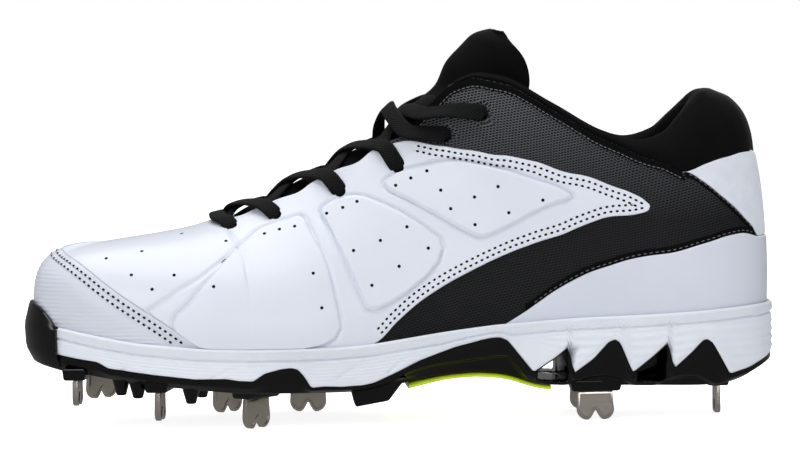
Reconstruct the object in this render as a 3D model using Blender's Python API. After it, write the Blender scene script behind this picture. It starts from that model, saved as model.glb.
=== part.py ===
import math
from functools import lru_cache

import bmesh
import bpy
import numpy as np
from mathutils import Matrix, Vector

# A right-foot baseball cleat: a hollow laced upper on a foam midsole, a moulded plate and nine steel spikes.
# Lengths are in metres. The toe points to -X and the medial side to -Y, and the spikes stand on Z = 0.

# Driving sizes
LENGTH = 0.300
BALL_WIDTH = 0.100
STACK_HEIGHT = 0.045      # floor to the heel's feather line, spikes included
UPPER_HEIGHT = 0.112      # the heel's feather line to the tongue's top
CLEARANCE = 0.0003        # between touching pieces

UPPER_WALL = 0.0020
OVERLAY_THICKNESS = 0.0009
OVERLAY_GAP = 0.00055     # under the overlays, whose curves are not the upper's
TOE_CAP_THICKNESS = 0.0007
COUNTER_THICKNESS = 0.0008
COLLAR_WALL = 0.0045      # padding at the collar's sides
TONGUE_THICKNESS = 0.0045
TONGUE_GAP = 0.0008
TONGUE_COVER = 0.014      # how far the eyestay lies over the tongue's edge
INSOLE_THICKNESS = 0.0035
INSOLE_GAP = 0.0006

CUP_DEPTH = 0.0026        # how far the upper stands down inside the midsole's rim
RIM_HEIGHT = 0.0046       # the textured band along the midsole's top edge
WALL_GROW = 0.0028        # the midsole's wall beyond the feather line
STEP_DEPTH = 0.0008       # the groove below the textured band
PLATE_GROW = 0.0021
PLATE_TAPER = 0.0030
RECESS_DEPTH = 0.015      # the blind side openings under the heel's waves
TUNNEL_DEPTH = 0.050      # past the middle, for the opening that goes right through
RECESS_MARGIN = 0.0016
RECESS_START = 0.004      # how far outside the wall a cutter starts

GUARD_THICKNESS = 0.0017
GUARD_REACH = 0.012       # how far the guard runs back on each side of the toe
GUARD_TOP = 0.0505

SHANK_THICKNESS = 0.0014
SHANK_MARGIN = 0.0035
SHANK_START = 0.50        # shares of the plate's length
SHANK_END = 0.704

SPIKE_WIDTH = 0.0150
SPIKE_THICKNESS = 0.0022
SPIKE_NOTCH = 0.0030
SPIKE_PAD_HEIGHT = 0.0024
SPIKE_PAD_MARGIN = 0.0028
CONE_RADIUS = 0.0038
CONE_HEIGHT = 0.0060

EYELET_RADIUS = 0.0024
LACE_WIDTH = 0.0062
LACE_THICKNESS = 0.0016

# The feather line from above: hundredths of LENGTH from the toe, then hundredths of BALL_WIDTH to each side.
OUTLINE = [
    # place, medial, lateral
    (1.0, 8.0, -8.0),
    (1.5, 18.0, 1.0),
    (4.0, 29.0, 14.0),
    (9.3, 38.0, 31.0),
    (16.7, 43.5, 44.0),
    (24.7, 46.5, 50.5),
    (32.7, 45.5, 52.5),
    (42.0, 40.0, 50.0),
    (52.0, 33.0, 45.0),
    (62.7, 30.0, 39.0),
    (74.0, 31.0, 35.5),
    (84.7, 32.0, 33.5),
    (92.7, 28.5, 29.0),
    (97.3, 19.0, 19.0),
    (98.9, 8.5, 8.5),
    (99.2, 0.0, 0.0),
]
LAST_ROW = len(OUTLINE) - 1

# The ribs of the upper. A rib stands on the feather line at an OUTLINE row (foot) and ends on the vamp's ridge,
# on the throat's edge or on the collar's rim. top is hundredths of LENGTH, axis and half are hundredths of
# BALL_WIDTH, height is hundredths of UPPER_HEIGHT above STACK_HEIGHT. rise and drop are shares of the rib's
# height, reach is a share of the way back to the foot, and low and high bulge it by hundredths of BALL_WIDTH.
RIBS = [
    # foot, top, axis, half, height, low, rise, reach, high, drop
    (0.0, 10.0, -7.0, 0.0, 25.2, 2.0, 0.80, 0.82, 0.0, 0.00),
    (1.0, 10.4, -7.0, 0.0, 25.2, 2.0, 0.78, 0.82, 0.0, 0.00),
    (2.0, 11.6, -7.0, 0.0, 25.6, 2.2, 0.76, 0.78, 0.0, 0.00),
    (3.0, 14.0, -6.5, 0.0, 26.5, 2.5, 0.72, 0.72, 0.0, 0.00),
    (4.0, 17.7, -6.0, 0.0, 27.9, 3.0, 0.65, 0.65, 0.0, 0.00),
    (5.0, 22.0, -5.0, 0.0, 30.0, 3.0, 0.60, 0.62, 0.0, 0.00),
    (5.6, 24.6, -4.5, 0.0, 32.0, 3.0, 0.56, 0.60, 0.0, 0.02),
    (5.85, 25.2, -4.5, 4.8, 32.3, 3.0, 0.55, 0.58, 0.0, 0.03),
    (6.15, 26.7, -4.4, 7.8, 33.2, 3.1, 0.54, 0.56, 0.0, 0.05),
    (6.5, 29.8, -4.0, 10.2, 35.8, 3.2, 0.52, 0.54, 0.0, 0.06),
    (7.0, 35.0, -3.5, 13.0, 42.0, 3.5, 0.48, 0.50, 0.0, 0.10),
    (8.0, 44.7, -3.0, 15.0, 55.2, 4.0, 0.42, 0.45, 0.0, 0.13),
    (8.5, 49.6, -2.5, 16.5, 62.5, 4.5, 0.40, 0.38, 0.5, 0.16),
    (9.0, 53.9, -2.0, 18.5, 73.8, 5.0, 0.38, 0.30, 1.0, 0.20),
    (9.4, 57.2, -2.0, 21.0, 81.6, 5.0, 0.36, 0.22, 2.0, 0.24),
    (9.7, 60.0, -1.5, 23.5, 84.2, 4.8, 0.35, 0.18, 2.5, 0.26),
    (10.0, 63.2, -1.0, 25.5, 83.0, 4.5, 0.35, 0.15, 3.0, 0.28),
    (10.5, 70.0, -0.5, 28.0, 73.2, 4.0, 0.35, 0.12, 3.0, 0.30),
    (11.0, 76.7, 0.0, 29.5, 63.0, 3.5, 0.36, 0.10, 3.0, 0.30),
    (11.4, 81.3, 0.0, 29.0, 59.4, 3.0, 0.38, 0.12, 4.0, 0.26),
    (11.8, 84.7, 0.0, 26.5, 61.8, 3.0, 0.40, 0.18, 4.5, 0.20),
    (12.2, 87.3, 0.0, 22.5, 67.6, 3.0, 0.41, 0.28, 4.0, 0.18),
    (12.7, 89.7, 0.0, 17.0, 73.4, 2.6, 0.41, 0.42, 3.0, 0.18),
    (13.3, 91.1, 0.0, 11.0, 76.3, 2.2, 0.45, 0.60, 2.0, 0.12),
    (14.0, 92.0, 0.0, 5.0, 76.8, 1.8, 0.48, 0.76, 1.0, 0.06),
    (15.0, 92.3, 0.0, 0.0, 76.8, 1.5, 0.50, 0.86, 0.0, 0.04),
]
THROAT_ROW = 5.6

# Borders on the upper: an OUTLINE row, then a share of the rib's length.
COLLAR_SEAM = [
    (9.3, 0.982), (10.0, 0.975), (10.5, 0.97), (11.1, 0.955), (11.56, 0.882), (11.9, 0.761), (12.26, 0.732),
    (12.9, 0.694), (14.0, 0.665), (15.0, 0.65),
]
TOE_SEAM = [(0.0, 0.675), (1.0, 0.63), (1.9, 0.556), (2.7, 0.436), (3.45, 0.286), (4.2, 0.134), (4.65, 0.045)]
WING_LOWER = [
    (4.65, 0.065), (5.2, 0.03), (7.35, 0.03), (7.68, 0.10), (8.06, 0.187), (8.54, 0.252), (9.03, 0.281),
    (9.51, 0.303), (9.92, 0.334), (10.76, 0.505), (11.3, 0.600),
]
WING_UPPER = [
    (8.3, 0.985), (8.5, 0.965), (8.85, 0.838), (9.22, 0.734), (9.61, 0.668), (10.22, 0.647), (10.8, 0.692),
    (11.07, 0.683), (11.3, 0.63),
]
COUNTER_UPPER = [
    (9.15, 0.045), (9.65, 0.111), (10.33, 0.214), (11.04, 0.32), (11.83, 0.368), (12.6, 0.345), (13.24, 0.30),
    (15.0, 0.29),
]

# Heights along the sole's side: hundredths of LENGTH from the toe, then hundredths of STACK_HEIGHT.
FEATHER = [
    (0.0, 95.5), (3.7, 91.8), (8.7, 84.4), (14.3, 77.3), (23.0, 71.8), (29.3, 70.2), (35.7, 70.0), (41.3, 70.4),
    (45.7, 72.4), (51.7, 77.8), (55.3, 81.1), (62.0, 86.2), (72.7, 91.1), (83.0, 93.3), (89.7, 95.6), (95.0, 98.4),
    (100.0, 100.7),
]
FOAM_BOTTOM = [
    (0.0, 69.3), (4.0, 68.4), (6.7, 64.9), (9.3, 62.2), (10.7, 56.7), (16.3, 51.1), (22.0, 46.7), (26.0, 46.7),
    (27.7, 44.7), (29.5, 44.0), (31.0, 50.7), (33.0, 54.0), (34.5, 55.1), (35.4, 53.3), (36.2, 47.1), (37.1, 36.9),
    (38.7, 37.8), (41.1, 36.9), (44.0, 37.6), (45.4, 39.3), (48.6, 48.2), (51.7, 57.8), (56.3, 68.4), (60.6, 75.2),
    (61.6, 76.2), (62.6, 76.4), (63.6, 73.6), (67.0, 45.1), (69.8, 57.0), (72.4, 68.3), (73.2, 43.5), (75.0, 56.0),
    (77.0, 70.5), (77.9, 73.2), (78.6, 70.0), (80.2, 43.3), (82.8, 57.0), (85.4, 70.5), (86.2, 46.5), (88.0, 60.0),
    (89.5, 70.5), (90.1, 71.9), (90.9, 68.0), (93.1, 40.0), (95.8, 44.9), (98.0, 51.8), (100.0, 57.8),
]
PLATE_BOTTOM = [
    (0.0, 61.1), (2.3, 54.7), (5.3, 51.1), (7.3, 50.0), (11.3, 45.6), (15.7, 40.7), (22.7, 36.0), (28.3, 32.4),
    (35.7, 31.6), (42.0, 31.0), (47.0, 32.5), (50.2, 37.5), (55.3, 43.4), (59.3, 45.3), (63.2, 43.2), (67.9, 33.0),
    (71.0, 32.0), (75.7, 31.1), (81.3, 30.9), (89.0, 29.6), (92.3, 29.8), (93.7, 32.0), (96.0, 35.9), (98.1, 43.1),
    (100.0, 48.5),
]

# Openings in the plate's side under the first and third waves: hundredths of LENGTH, then the depth.
RECESSES = [(67.6, 72.2, TUNNEL_DEPTH), (80.8, 85.2, RECESS_DEPTH)]
RECESS_NARROWING = [(0.4, 0.85), (1.0, 0.6)]    # an opening's size at a share of its depth

# Lugs under the plate: hundredths of LENGTH and of BALL_WIDTH, then hundredths of STACK_HEIGHT.
SPIKES = [
    # name, place, side, turn in degrees, tip
    ("spike_toe_medial", 6.4, -27.0, 82.0, 22.0),
    ("spike_toe_lateral", 9.4, 25.0, 40.0, 18.0),
    ("spike_ball_medial", 17.3, -34.0, 80.0, 8.8),
    ("spike_ball_lateral", 26.6, 36.0, 42.0, 1.0),
    ("spike_waist_medial", 30.0, -33.0, 49.0, 0.0),
    ("spike_waist_lateral", 37.7, 37.0, -10.0, 0.0),
    ("spike_heel_medial", 75.4, -24.0, 3.0, 0.0),
    ("spike_heel_lateral", 75.9, 26.0, -3.0, 0.0),
    ("spike_heel_rear", 92.6, 0.0, 88.0, 0.0),
]
CONES = [
    # place, side
    (12.2, -34.0), (14.4, -37.0), (21.4, -39.0), (15.0, 36.0), (20.0, 41.0), (32.0, 42.0), (23.0, -5.0),
    (31.0, 4.0),
]
BLOCKS = [
    # from, to, inner side, outer side, tip
    (42.4, 49.2, -24.0, -37.0, 17.5),
    (44.0, 50.5, 28.0, 41.0, 18.5),
]

# The tongue above the top eyelets, along its middle: hundredths of LENGTH, of UPPER_HEIGHT above STACK_HEIGHT,
# then hundredths of BALL_WIDTH for its half width and for how far its edges sweep back.
TONGUE_TOP = [
    # place, height, half, sweep
    (54.9, 80.0, 16.0, 22.0),
    (56.2, 87.3, 17.5, 32.0),
    (58.9, 93.4, 18.5, 28.0),
    (61.0, 98.0, 18.0, 15.0),
    (62.4, 99.6, 14.0, 6.0),
]

# Eyelets on each side: an OUTLINE row, then the distance from the throat's edge in hundredths of BALL_WIDTH.
EYELETS = [(5.95, 10.5), (6.65, 9.5), (7.49, 10.0), (8.28, 11.5), (9.0, 14.5), (9.6, 16.5)]
OVERLAY_EYELETS = 4          # how many of them, from the toe, also pierce the overlay

COLLECTION_NAME = "Baseball cleat"


def clamp(value, low, high):
    return max(low, min(high, value))


def blend(a, b, share):
    return a + (b - a) * share


class Track:
    # A smooth line through a table's rows that never overshoots them.
    def __init__(self, places, values):
        self.x = [float(place) for place in places]
        self.y = [float(value) for value in values]
        self.step = np.diff(self.x)
        slope = np.diff(self.y) / self.step
        self.tangent = [0.0] * len(self.x)
        for i in range(1, len(self.x) - 1):
            if slope[i - 1] * slope[i] > 0:
                before = 2 * self.step[i] + self.step[i - 1]
                after = self.step[i] + 2 * self.step[i - 1]
                self.tangent[i] = (before + after) / (before / slope[i - 1] + after / slope[i])

    def __call__(self, place):
        place = clamp(place, self.x[0], self.x[-1])
        i = int(clamp(np.searchsorted(self.x, place) - 1, 0, len(self.step) - 1))
        t = (place - self.x[i]) / self.step[i]
        return (
            (1 + 2 * t) * (1 - t) ** 2 * self.y[i]
            + t * (1 - t) ** 2 * self.step[i] * self.tangent[i]
            + t * t * (3 - 2 * t) * self.y[i + 1]
            + t * t * (t - 1) * self.step[i] * self.tangent[i + 1]
        )


def along(place):
    return (place / 100 - 0.5) * LENGTH


def across(share):
    return share / 100 * BALL_WIDTH


def sole_height(share):
    return share / 100 * STACK_HEIGHT


def upper_height(share):
    return STACK_HEIGHT + share / 100 * UPPER_HEIGHT


def closed_spline(points):
    # A smooth closed curve through the points, as a function of the point's number.
    points = np.asarray(points, float)
    count = len(points)
    chord = np.linalg.norm(np.roll(points, -1, axis=0) - points, axis=1)
    system = np.zeros((count, count))
    right = np.zeros((count, 2))
    for i in range(count):
        before = chord[i - 1]
        after = chord[i]
        system[i, i - 1] += before
        system[i, i] += 2 * (before + after)
        system[i, (i + 1) % count] += after
        right[i] = 6 * ((points[(i + 1) % count] - points[i]) / after - (points[i] - points[i - 1]) / before)
    bend = np.linalg.solve(system, right)

    def curve(number):
        i = int(math.floor(number)) % count
        j = (i + 1) % count
        h = chord[i]
        b = (number - math.floor(number)) * h
        a = h - b
        return (
            (bend[i] * a**3 + bend[j] * b**3) / (6 * h)
            + (points[i] / h - bend[i] * h / 6) * a
            + (points[j] / h - bend[j] * h / 6) * b
        )

    return curve


def outline_points():
    medial = [(along(place), -across(half)) for place, half, _ in OUTLINE]
    lateral = [(along(place), across(half)) for place, _, half in OUTLINE[1:-1]]
    return medial + lateral[::-1]


OUTLINE_CURVE = closed_spline(outline_points())
POINTS_ROUND = 2 * LAST_ROW


def edge(turn, grow=0.0):
    # A point of the feather line, moved outwards by grow. turn is the OUTLINE row, negative on the medial side.
    number = -turn
    here = OUTLINE_CURVE(number)
    ahead = OUTLINE_CURVE(number + 0.02) - OUTLINE_CURVE(number - 0.02)
    outward = np.array([ahead[1], -ahead[0]]) / np.linalg.norm(ahead)
    return here + outward * grow


feather_track = Track([along(place) for place, _ in FEATHER], [sole_height(share) for _, share in FEATHER])
rib_tracks = [Track([rib[0] for rib in RIBS], [rib[i] for rib in RIBS]) for i in range(1, len(RIBS[0]))]


def border(rows):
    return Track([row for row, _ in rows], [share for _, share in rows])


def rib_points(row, side):
    # The four control points of one rib.
    top, axis, half, height, low, rise, reach, high, drop = [track(row) for track in rib_tracks]
    foot_xy = edge(side * row)
    outward = edge(side * row, 1.0) - foot_xy
    foot = np.array([foot_xy[0], foot_xy[1], feather_track(foot_xy[0])])
    crest = np.array([along(top), across(axis + side * half), upper_height(height)])
    tall = crest[2] - foot[2]
    out = np.array([outward[0], outward[1], 0.0])
    low_handle = foot + out * across(low) + np.array([0.0, 0.0, tall * rise])
    high_handle = crest + np.array([foot[0] - crest[0], foot[1] - crest[1], 0.0]) * reach
    high_handle += out * across(high) + np.array([0.0, 0.0, -tall * drop])
    if row < THROAT_ROW:
        high_handle[2] += ridge_slope(row) * (high_handle[0] - crest[0])
    return foot, low_handle, high_handle, crest


def ridge_slope(row):
    top = rib_tracks[0]
    height = rib_tracks[3]
    ahead = min(row + 0.2, THROAT_ROW)
    behind = max(row - 0.2, 0.0)
    return (upper_height(height(ahead)) - upper_height(height(behind))) / (along(top(ahead)) - along(top(behind)))


@lru_cache(maxsize=None)
def rib_line(turn):
    # Points along one rib and the share of its length at each.
    row = abs(turn)
    side = -1 if turn < 0 else 1
    if row > LAST_ROW:
        row = 2 * LAST_ROW - row
        side = -side
    a, b, c, d = rib_points(row, side)
    points = []
    for i in range(41):
        t = i / 40
        points.append(a * (1 - t) ** 3 + b * 3 * t * (1 - t) ** 2 + c * 3 * t * t * (1 - t) + d * t**3)
    lengths = [0.0]
    for i in range(40):
        lengths.append(lengths[-1] + np.linalg.norm(points[i + 1] - points[i]))
    return [length / lengths[-1] for length in lengths], np.array(points), lengths[-1]


def surface(turn, share):
    shares, points, _ = rib_line(round(turn, 5))
    return np.array([np.interp(share, shares, points[:, i]) for i in range(3)])


def rib_length(turn):
    return rib_line(round(turn, 5))[2]


def skin(turn, share, offset=0.0):
    # A point of the upper's outer surface, moved outwards by offset.
    here = surface(turn, share)
    if offset == 0.0:
        return here
    if share >= 1.0 and abs(turn) <= THROAT_ROW:
        slope = ridge_slope(abs(turn))
        return here + np.array([-slope, 0.0, 1.0]) / math.hypot(slope, 1.0) * offset
    level = clamp(share, 0.012, 0.988)
    forward = surface(turn + 0.03, level) - surface(turn - 0.03, level)
    upward = surface(turn, level + 0.012) - surface(turn, level - 0.012)
    normal = np.cross(upward, forward)
    return here + normal / np.linalg.norm(normal) * offset


# Columns of the upper's mesh, as turns on the lateral side.
COLUMNS = [
    0.0, 0.6, 1.2, 1.8, 2.4, 3.0, 3.6, 4.2, 4.65, 5.1, 5.6, 5.85, 6.15, 6.5, 6.8, 7.1, 7.5, 7.9, 8.3, 8.6, 8.9,
    9.2, 9.5, 9.85, 10.3, 10.8, 11.3, 11.8, 12.2, 12.7, 13.2, 13.7, 14.3, 15.0,
]


def turns_between(first, last):
    inner = [column for column in COLUMNS if first + 1e-6 < column < last - 1e-6]
    return [first] + inner + [last]


MERGE_DISTANCE = 2e-6


def new_object(name, mesh, material):
    mesh.materials.append(material)
    obj = bpy.data.objects.new(name, mesh)
    bpy.data.collections[COLLECTION_NAME].objects.link(obj)
    return obj


def mesh_from(name, bm):
    bmesh.ops.recalc_face_normals(bm, faces=bm.faces)
    mesh = bpy.data.meshes.new(name)
    bm.to_mesh(mesh)
    bm.free()
    mesh.shade_smooth()
    mesh.set_sharp_from_angle(angle=math.radians(35))
    return mesh


def shell(name, turns, levels, place, closed=False):
    # A closed shell between an outer and an inner sheet. place gives the point at a turn, a level and a depth,
    # which is 0 outside and 1 inside. Points that meet on the ridge become one.
    numbers = {}
    points = []
    rows = []
    for turn in turns:
        row = []
        for level in levels:
            outer = place(turn, level, 0)
            key = tuple(round(value / MERGE_DISTANCE) for value in outer)
            if key not in numbers:
                numbers[key] = len(points)
                points.append((outer, place(turn, level, 1)))
            row.append(numbers[key])
        rows.append(row)
    pairs = list(zip(rows, rows[1:]))
    if closed:
        pairs.append((rows[-1], rows[0]))
    triangles = []
    for left, right in pairs:
        for i in range(len(levels) - 1):
            triangles.append((left[i], left[i + 1], right[i + 1]))
            triangles.append((left[i], right[i + 1], right[i]))
    triangles = [corners for corners in triangles if len(set(corners)) == 3]
    sides = {(a, b) for corners in triangles for a, b in zip(corners, corners[1:] + corners[:1])}
    bm = bmesh.new()
    verts = [[bm.verts.new(pair[depth]) for pair in points] for depth in (0, 1)]
    for a, b, c in triangles:
        bm.faces.new((verts[0][a], verts[0][b], verts[0][c]))
        bm.faces.new((verts[1][c], verts[1][b], verts[1][a]))
    for a, b in sides:
        if (b, a) not in sides:
            bm.faces.new((verts[0][b], verts[0][a], verts[1][a], verts[1][b]))
    return mesh_from(name, bm)


def loft(name, rings, closed=False):
    # A solid through rings of as many points each.
    bm = bmesh.new()
    rows = [[bm.verts.new(point) for point in ring] for ring in rings]
    count = len(rows[0])
    pairs = list(zip(rows, rows[1:]))
    if closed:
        pairs.append((rows[-1], rows[0]))
    for left, right in pairs:
        for i in range(count):
            j = (i + 1) % count
            bm.faces.new((left[i], right[i], right[j], left[j]))
    if not closed:
        bm.faces.new(rows[0])
        bm.faces.new(rows[-1])
    return mesh_from(name, bm)


def material(name, color, roughness, metallic=0.0):
    found = bpy.data.materials.new(name)
    found.use_nodes = True
    shader = found.node_tree.nodes["Principled BSDF"]
    shader.inputs["Base Color"].default_value = (*color, 1.0)
    shader.inputs["Roughness"].default_value = roughness
    shader.inputs["Metallic"].default_value = metallic
    found.diffuse_color = (*color, 1.0)
    return found


def cutter(obj):
    bpy.data.collections[COLLECTION_NAME].objects.unlink(obj)
    bpy.data.collections["Cutters"].objects.link(obj)
    obj.hide_render = True
    obj.display_type = "WIRE"
    return obj


def boolean(obj, other, operation, solver="EXACT"):
    modifier = obj.modifiers.new(other.name, "BOOLEAN")
    modifier.operation = operation
    modifier.solver = solver
    modifier.object = other


# The upper and what is laid on it
UPPER_LEVELS = [0.0, 0.1, 0.2, 0.31, 0.42, 0.53, 0.64, 0.75, 0.87, 1.0]
collar_seam = border(COLLAR_SEAM)
toe_seam = border(TOE_SEAM)
wing_lower = border(WING_LOWER)
wing_upper = border(WING_UPPER)
counter_upper = border(COUNTER_UPPER)
COLLAR_ROW = COLLAR_SEAM[0][0]
OVERLAY_GAP_SHARE = 0.014    # between two overlays, and between the collar and the upper
OVERLAY_FOOT = 0.02          # share of a rib below the lowest overlays


def seam_below_collar(row):
    if row < COLLAR_ROW:
        return 1.0
    fade = clamp((row - COLLAR_ROW) / 0.5, 0.0, 1.0)
    return blend(1.0, collar_seam(row), fade)


def upper_point(turn, level, depth):
    if level < 0:
        drop = np.array([0.0, 0.0, CUP_DEPTH - CLEARANCE])
        foot = np.append(edge(turn, -UPPER_WALL * depth), feather_track(edge(turn)[0]))
        return foot - drop
    return skin(turn, level * seam_below_collar(abs(turn)), -UPPER_WALL * depth)


def all_round():
    ahead = COLUMNS[1:]
    return [-turn for turn in ahead[-2::-1]] + [0.0] + ahead


def build_upper(skin_material):
    mesh = shell("upper", all_round(), [-1.0] + UPPER_LEVELS, upper_point, closed=True)
    return new_object("upper", mesh, skin_material)


def overlay(name, turns, lower, upper, thickness, skin_material):
    # A thin layer on the upper between two borders, which are functions of the row. It has the upper's own levels.
    def place(turn, level, depth):
        row = abs(turn)
        share = clamp(level * seam_below_collar(row), lower(row), upper(row))
        return skin(turn, share, OVERLAY_GAP + thickness * (1 - depth))

    return new_object(name, shell(name, turns, UPPER_LEVELS, place), skin_material)


def overlay_foot(row):
    return OVERLAY_FOOT


def build_toe_cap(skin_material):
    last = TOE_SEAM[-1][0]
    ahead = turns_between(0.0, last)
    turns = [-turn for turn in ahead[:0:-1]] + ahead
    return overlay("toe_cap", turns, overlay_foot, toe_seam, TOE_CAP_THICKNESS, skin_material)


def wing_bottom(row):
    if row <= TOE_SEAM[-1][0]:
        return toe_seam(row) + OVERLAY_GAP_SHARE
    return wing_lower(row)


def wing_top(row):
    if row <= WING_UPPER[0][0]:
        return 1.0
    return wing_upper(row)


def build_wing(skin_material):
    ahead = turns_between(0.0, WING_UPPER[-1][0])
    turns = [-turn for turn in ahead[:0:-1]] + ahead
    return overlay("vamp_overlay", turns, wing_bottom, wing_top, OVERLAY_THICKNESS, skin_material)


def build_counter(skin_material):
    ahead = turns_between(COUNTER_UPPER[0][0], 15.0)
    turns = ahead + [-turn for turn in ahead[-2::-1]]
    return overlay("heel_counter", turns, overlay_foot, counter_upper, COUNTER_THICKNESS, skin_material)


# The collar's padding at each row, as a multiple of COLLAR_WALL
COLLAR_PADDING = [(9.2, 0.6), (10.0, 1.0), (11.4, 1.3), (12.7, 2.6), (15.0, 2.8)]
collar_padding = border(COLLAR_PADDING)
COLLAR_LEAST = 0.0020        # the least height of the padding's inner side


def collar_ring(turn):
    # The padding's section: up the outside, over the rim and down the inside.
    row = abs(turn)
    low = min(seam_below_collar(row), 0.985) + OVERLAY_GAP_SHARE * 0.6
    pad = COLLAR_WALL * collar_padding(row)
    inward = np.append(edge(turn) - edge(turn, 1.0), 0.0)
    outer = [skin(turn, blend(low, 1.0, level)) for level in (0.0, 0.3, 0.6, 0.85, 1.0)]
    crest = outer[-1]
    foot = outer[0]
    tall = crest[2] - foot[2]
    tall = max(tall, COLLAR_LEAST)
    lip = crest + inward * pad * 0.35 + np.array([0.0, 0.0, -0.12 * tall])
    root = foot + inward * pad
    side = (lip + root) / 2 + inward * pad * 0.12
    return outer + [lip, side, root]


def build_collar(skin_material):
    ahead = turns_between(COLLAR_ROW + 0.1, 15.0)
    turns = ahead + [-turn for turn in ahead[-2::-1]]
    return new_object("collar", loft("collar", [collar_ring(turn) for turn in turns]), skin_material)


# The tongue, under the eyestay and free above it
TONGUE_DEPTH = UPPER_WALL + TONGUE_GAP
TONGUE_CROWN = 0.10          # share of the throat's width by which the tongue's middle rises
TONGUE_FRONT_THINNING = 0.5  # the same at its front end
TONGUE_EDGE_THINNING = 0.55  # share of its thickness that the tongue loses at its sides
TONGUE_FRONT_DROP = 0.0020   # how much lower the tongue's front lies
TONGUE_LIP = 0.0016          # how far past the throat's edge the tongue starts to rise
TONGUE_TUCKS = [(-0.019, 0.0, -0.0112), (-0.009, 0.0, -0.0062)]    # from its first section to its front end
TONGUE_LAST_ROW = 8.9


def smooth_through(knots, count):
    chord = [0.0]
    for a, b in zip(knots, knots[1:]):
        chord.append(chord[-1] + np.linalg.norm(np.subtract(b, a)))
    system = np.array(knots)
    tangents = [system[1] - system[0]]
    for i in range(1, len(knots) - 1):
        tangents.append((system[i + 1] - system[i - 1]) / (chord[i + 1] - chord[i - 1]))
    tangents[0] = (system[1] - system[0]) / chord[1] * 1.5 - tangents[1] * 0.5
    tangents.append((system[-1] - system[-2]) / (chord[-1] - chord[-2]) * 1.5 - tangents[-1] * 0.5)
    points = []
    for step in range(count + 1):
        where = chord[-1] * step / count
        i = min(int(np.searchsorted(chord, where, side="right")) - 1, len(knots) - 2)
        h = chord[i + 1] - chord[i]
        t = (where - chord[i]) / h
        points.append(
            (1 + 2 * t) * (1 - t) ** 2 * system[i]
            + t * (1 - t) ** 2 * h * tangents[i]
            + t * t * (3 - 2 * t) * system[i + 1]
            + t * t * (t - 1) * h * tangents[i + 1]
        )
    return points


def throat_frame(row):
    # The middle of the throat at a row, and the direction straight up out of it.
    left = surface(-row, 1.0)
    right = surface(row, 1.0)
    ahead = surface(row + 0.1, 1.0) + surface(-row - 0.1, 1.0)
    behind = surface(row - 0.1, 1.0) + surface(-row + 0.1, 1.0)
    forward = ahead - behind
    forward[1] = 0.0
    normal = np.cross(forward / np.linalg.norm(forward), np.array([0.0, 1.0, 0.0]))
    if normal[2] < 0:
        normal = -normal
    return (left + right) / 2, normal, right[1] - left[1]


def tongue_knots(row):
    middle, normal, gap = throat_frame(row)
    depth = TONGUE_DEPTH + TONGUE_FRONT_DROP * clamp((6.7 - row) / 0.9, 0.0, 1.0)
    knots = []
    for side in (-1, 1):
        length = rib_length(side * row)
        low = skin(side * row, 1 - TONGUE_COVER / length, -depth)
        high = skin(side * row, 1.0, -depth) - np.array([0.0, side * TONGUE_LIP, 0.0])
        knots.append((low, high))
    crown = middle + normal * (gap * TONGUE_CROWN - TONGUE_DEPTH * clamp(2 - gap / 0.010, 0.0, 1.0))
    return [knots[0][0], knots[0][1], crown, knots[1][1], knots[1][0]]


def tongue_top_knots(place, height, half, sweep):
    middle = np.array([along(place), across(-2.0), upper_height(height)])
    knots = []
    for side, share, lag, fall in ((-1, 1.0, 1.0, 0.38), (-1, 0.75, 0.36, 0.12), (0, 0, 0, 0),
                                   (1, 0.75, 0.36, 0.12), (1, 1.0, 1.0, 0.38)):
        shift = np.array([across(sweep) * lag, across(half) * share * side, -across(sweep) * fall])
        knots.append(middle + shift)
    return knots


def tongue_sections():
    rows = [6.4, 6.75, 7.1, 7.5, 7.9, 8.3, 8.6, TONGUE_LAST_ROW]
    sections = [tongue_knots(row) for row in rows]
    sections = [[knot + np.array(tuck) for knot in sections[0]] for tuck in TONGUE_TUCKS] + sections
    sections += [tongue_top_knots(*row) for row in TONGUE_TOP]
    return [smooth_through(knots, 10) for knots in sections]


def build_tongue(skin_material):
    grid = np.array(tongue_sections())
    forward = np.gradient(grid, axis=0)
    sideways = np.gradient(grid, axis=1)
    normals = np.cross(forward, sideways)
    normals /= np.linalg.norm(normals, axis=2, keepdims=True)
    last = len(grid[0]) - 1

    def place(i, j, depth):
        edge_share = abs(2 * j / last - 1)
        thickness = TONGUE_THICKNESS * (1 - TONGUE_EDGE_THINNING * edge_share**2)
        if i < 3:
            thickness *= TONGUE_FRONT_THINNING
        return grid[i][last - j] - normals[i][last - j] * thickness * depth

    mesh = shell("tongue", range(len(grid)), range(last + 1), place)
    return new_object("tongue", mesh, skin_material)


# Eyelets and laces
def eyelet_share(turn, inset):
    return 1 - across(inset) / rib_length(turn)


def eyelet_frame(turn, inset):
    share = eyelet_share(turn, inset)
    outside = skin(turn, share, 0.006)
    inside = skin(turn, share, -0.006)
    return Vector(outside), Vector(inside)


def build_eyelet_cutter(name, eyelets):
    bm = bmesh.new()
    for side in (-1, 1):
        for row, inset in eyelets:
            outside, inside = eyelet_frame(side * row, inset)
            axis = outside - inside
            turn = axis.to_track_quat("Z", "Y").to_matrix().to_4x4()
            matrix = Matrix.Translation((outside + inside) / 2) @ turn
            bmesh.ops.create_cone(bm, cap_ends=True, segments=8, radius1=EYELET_RADIUS, radius2=EYELET_RADIUS,
                                  depth=axis.length, matrix=matrix)
    obj = new_object(name, mesh_from(name, bm), bpy.data.materials.new(name))
    return cutter(obj)


def tongue_rise(middle, normal):
    # How far the tongue's middle stands above a point of the throat, within a lace's width.
    line = [section[len(section) // 2] for section in tongue_sections()]
    points = [blend(a, b, i / 4) for a, b in zip(line, line[1:]) for i in range(4)]
    near = []
    for point in points:
        step = point - middle
        rise = float(np.dot(step, normal))
        if np.linalg.norm(step - normal * rise) < LACE_WIDTH:
            near.append(rise)
    return max(near)


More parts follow.
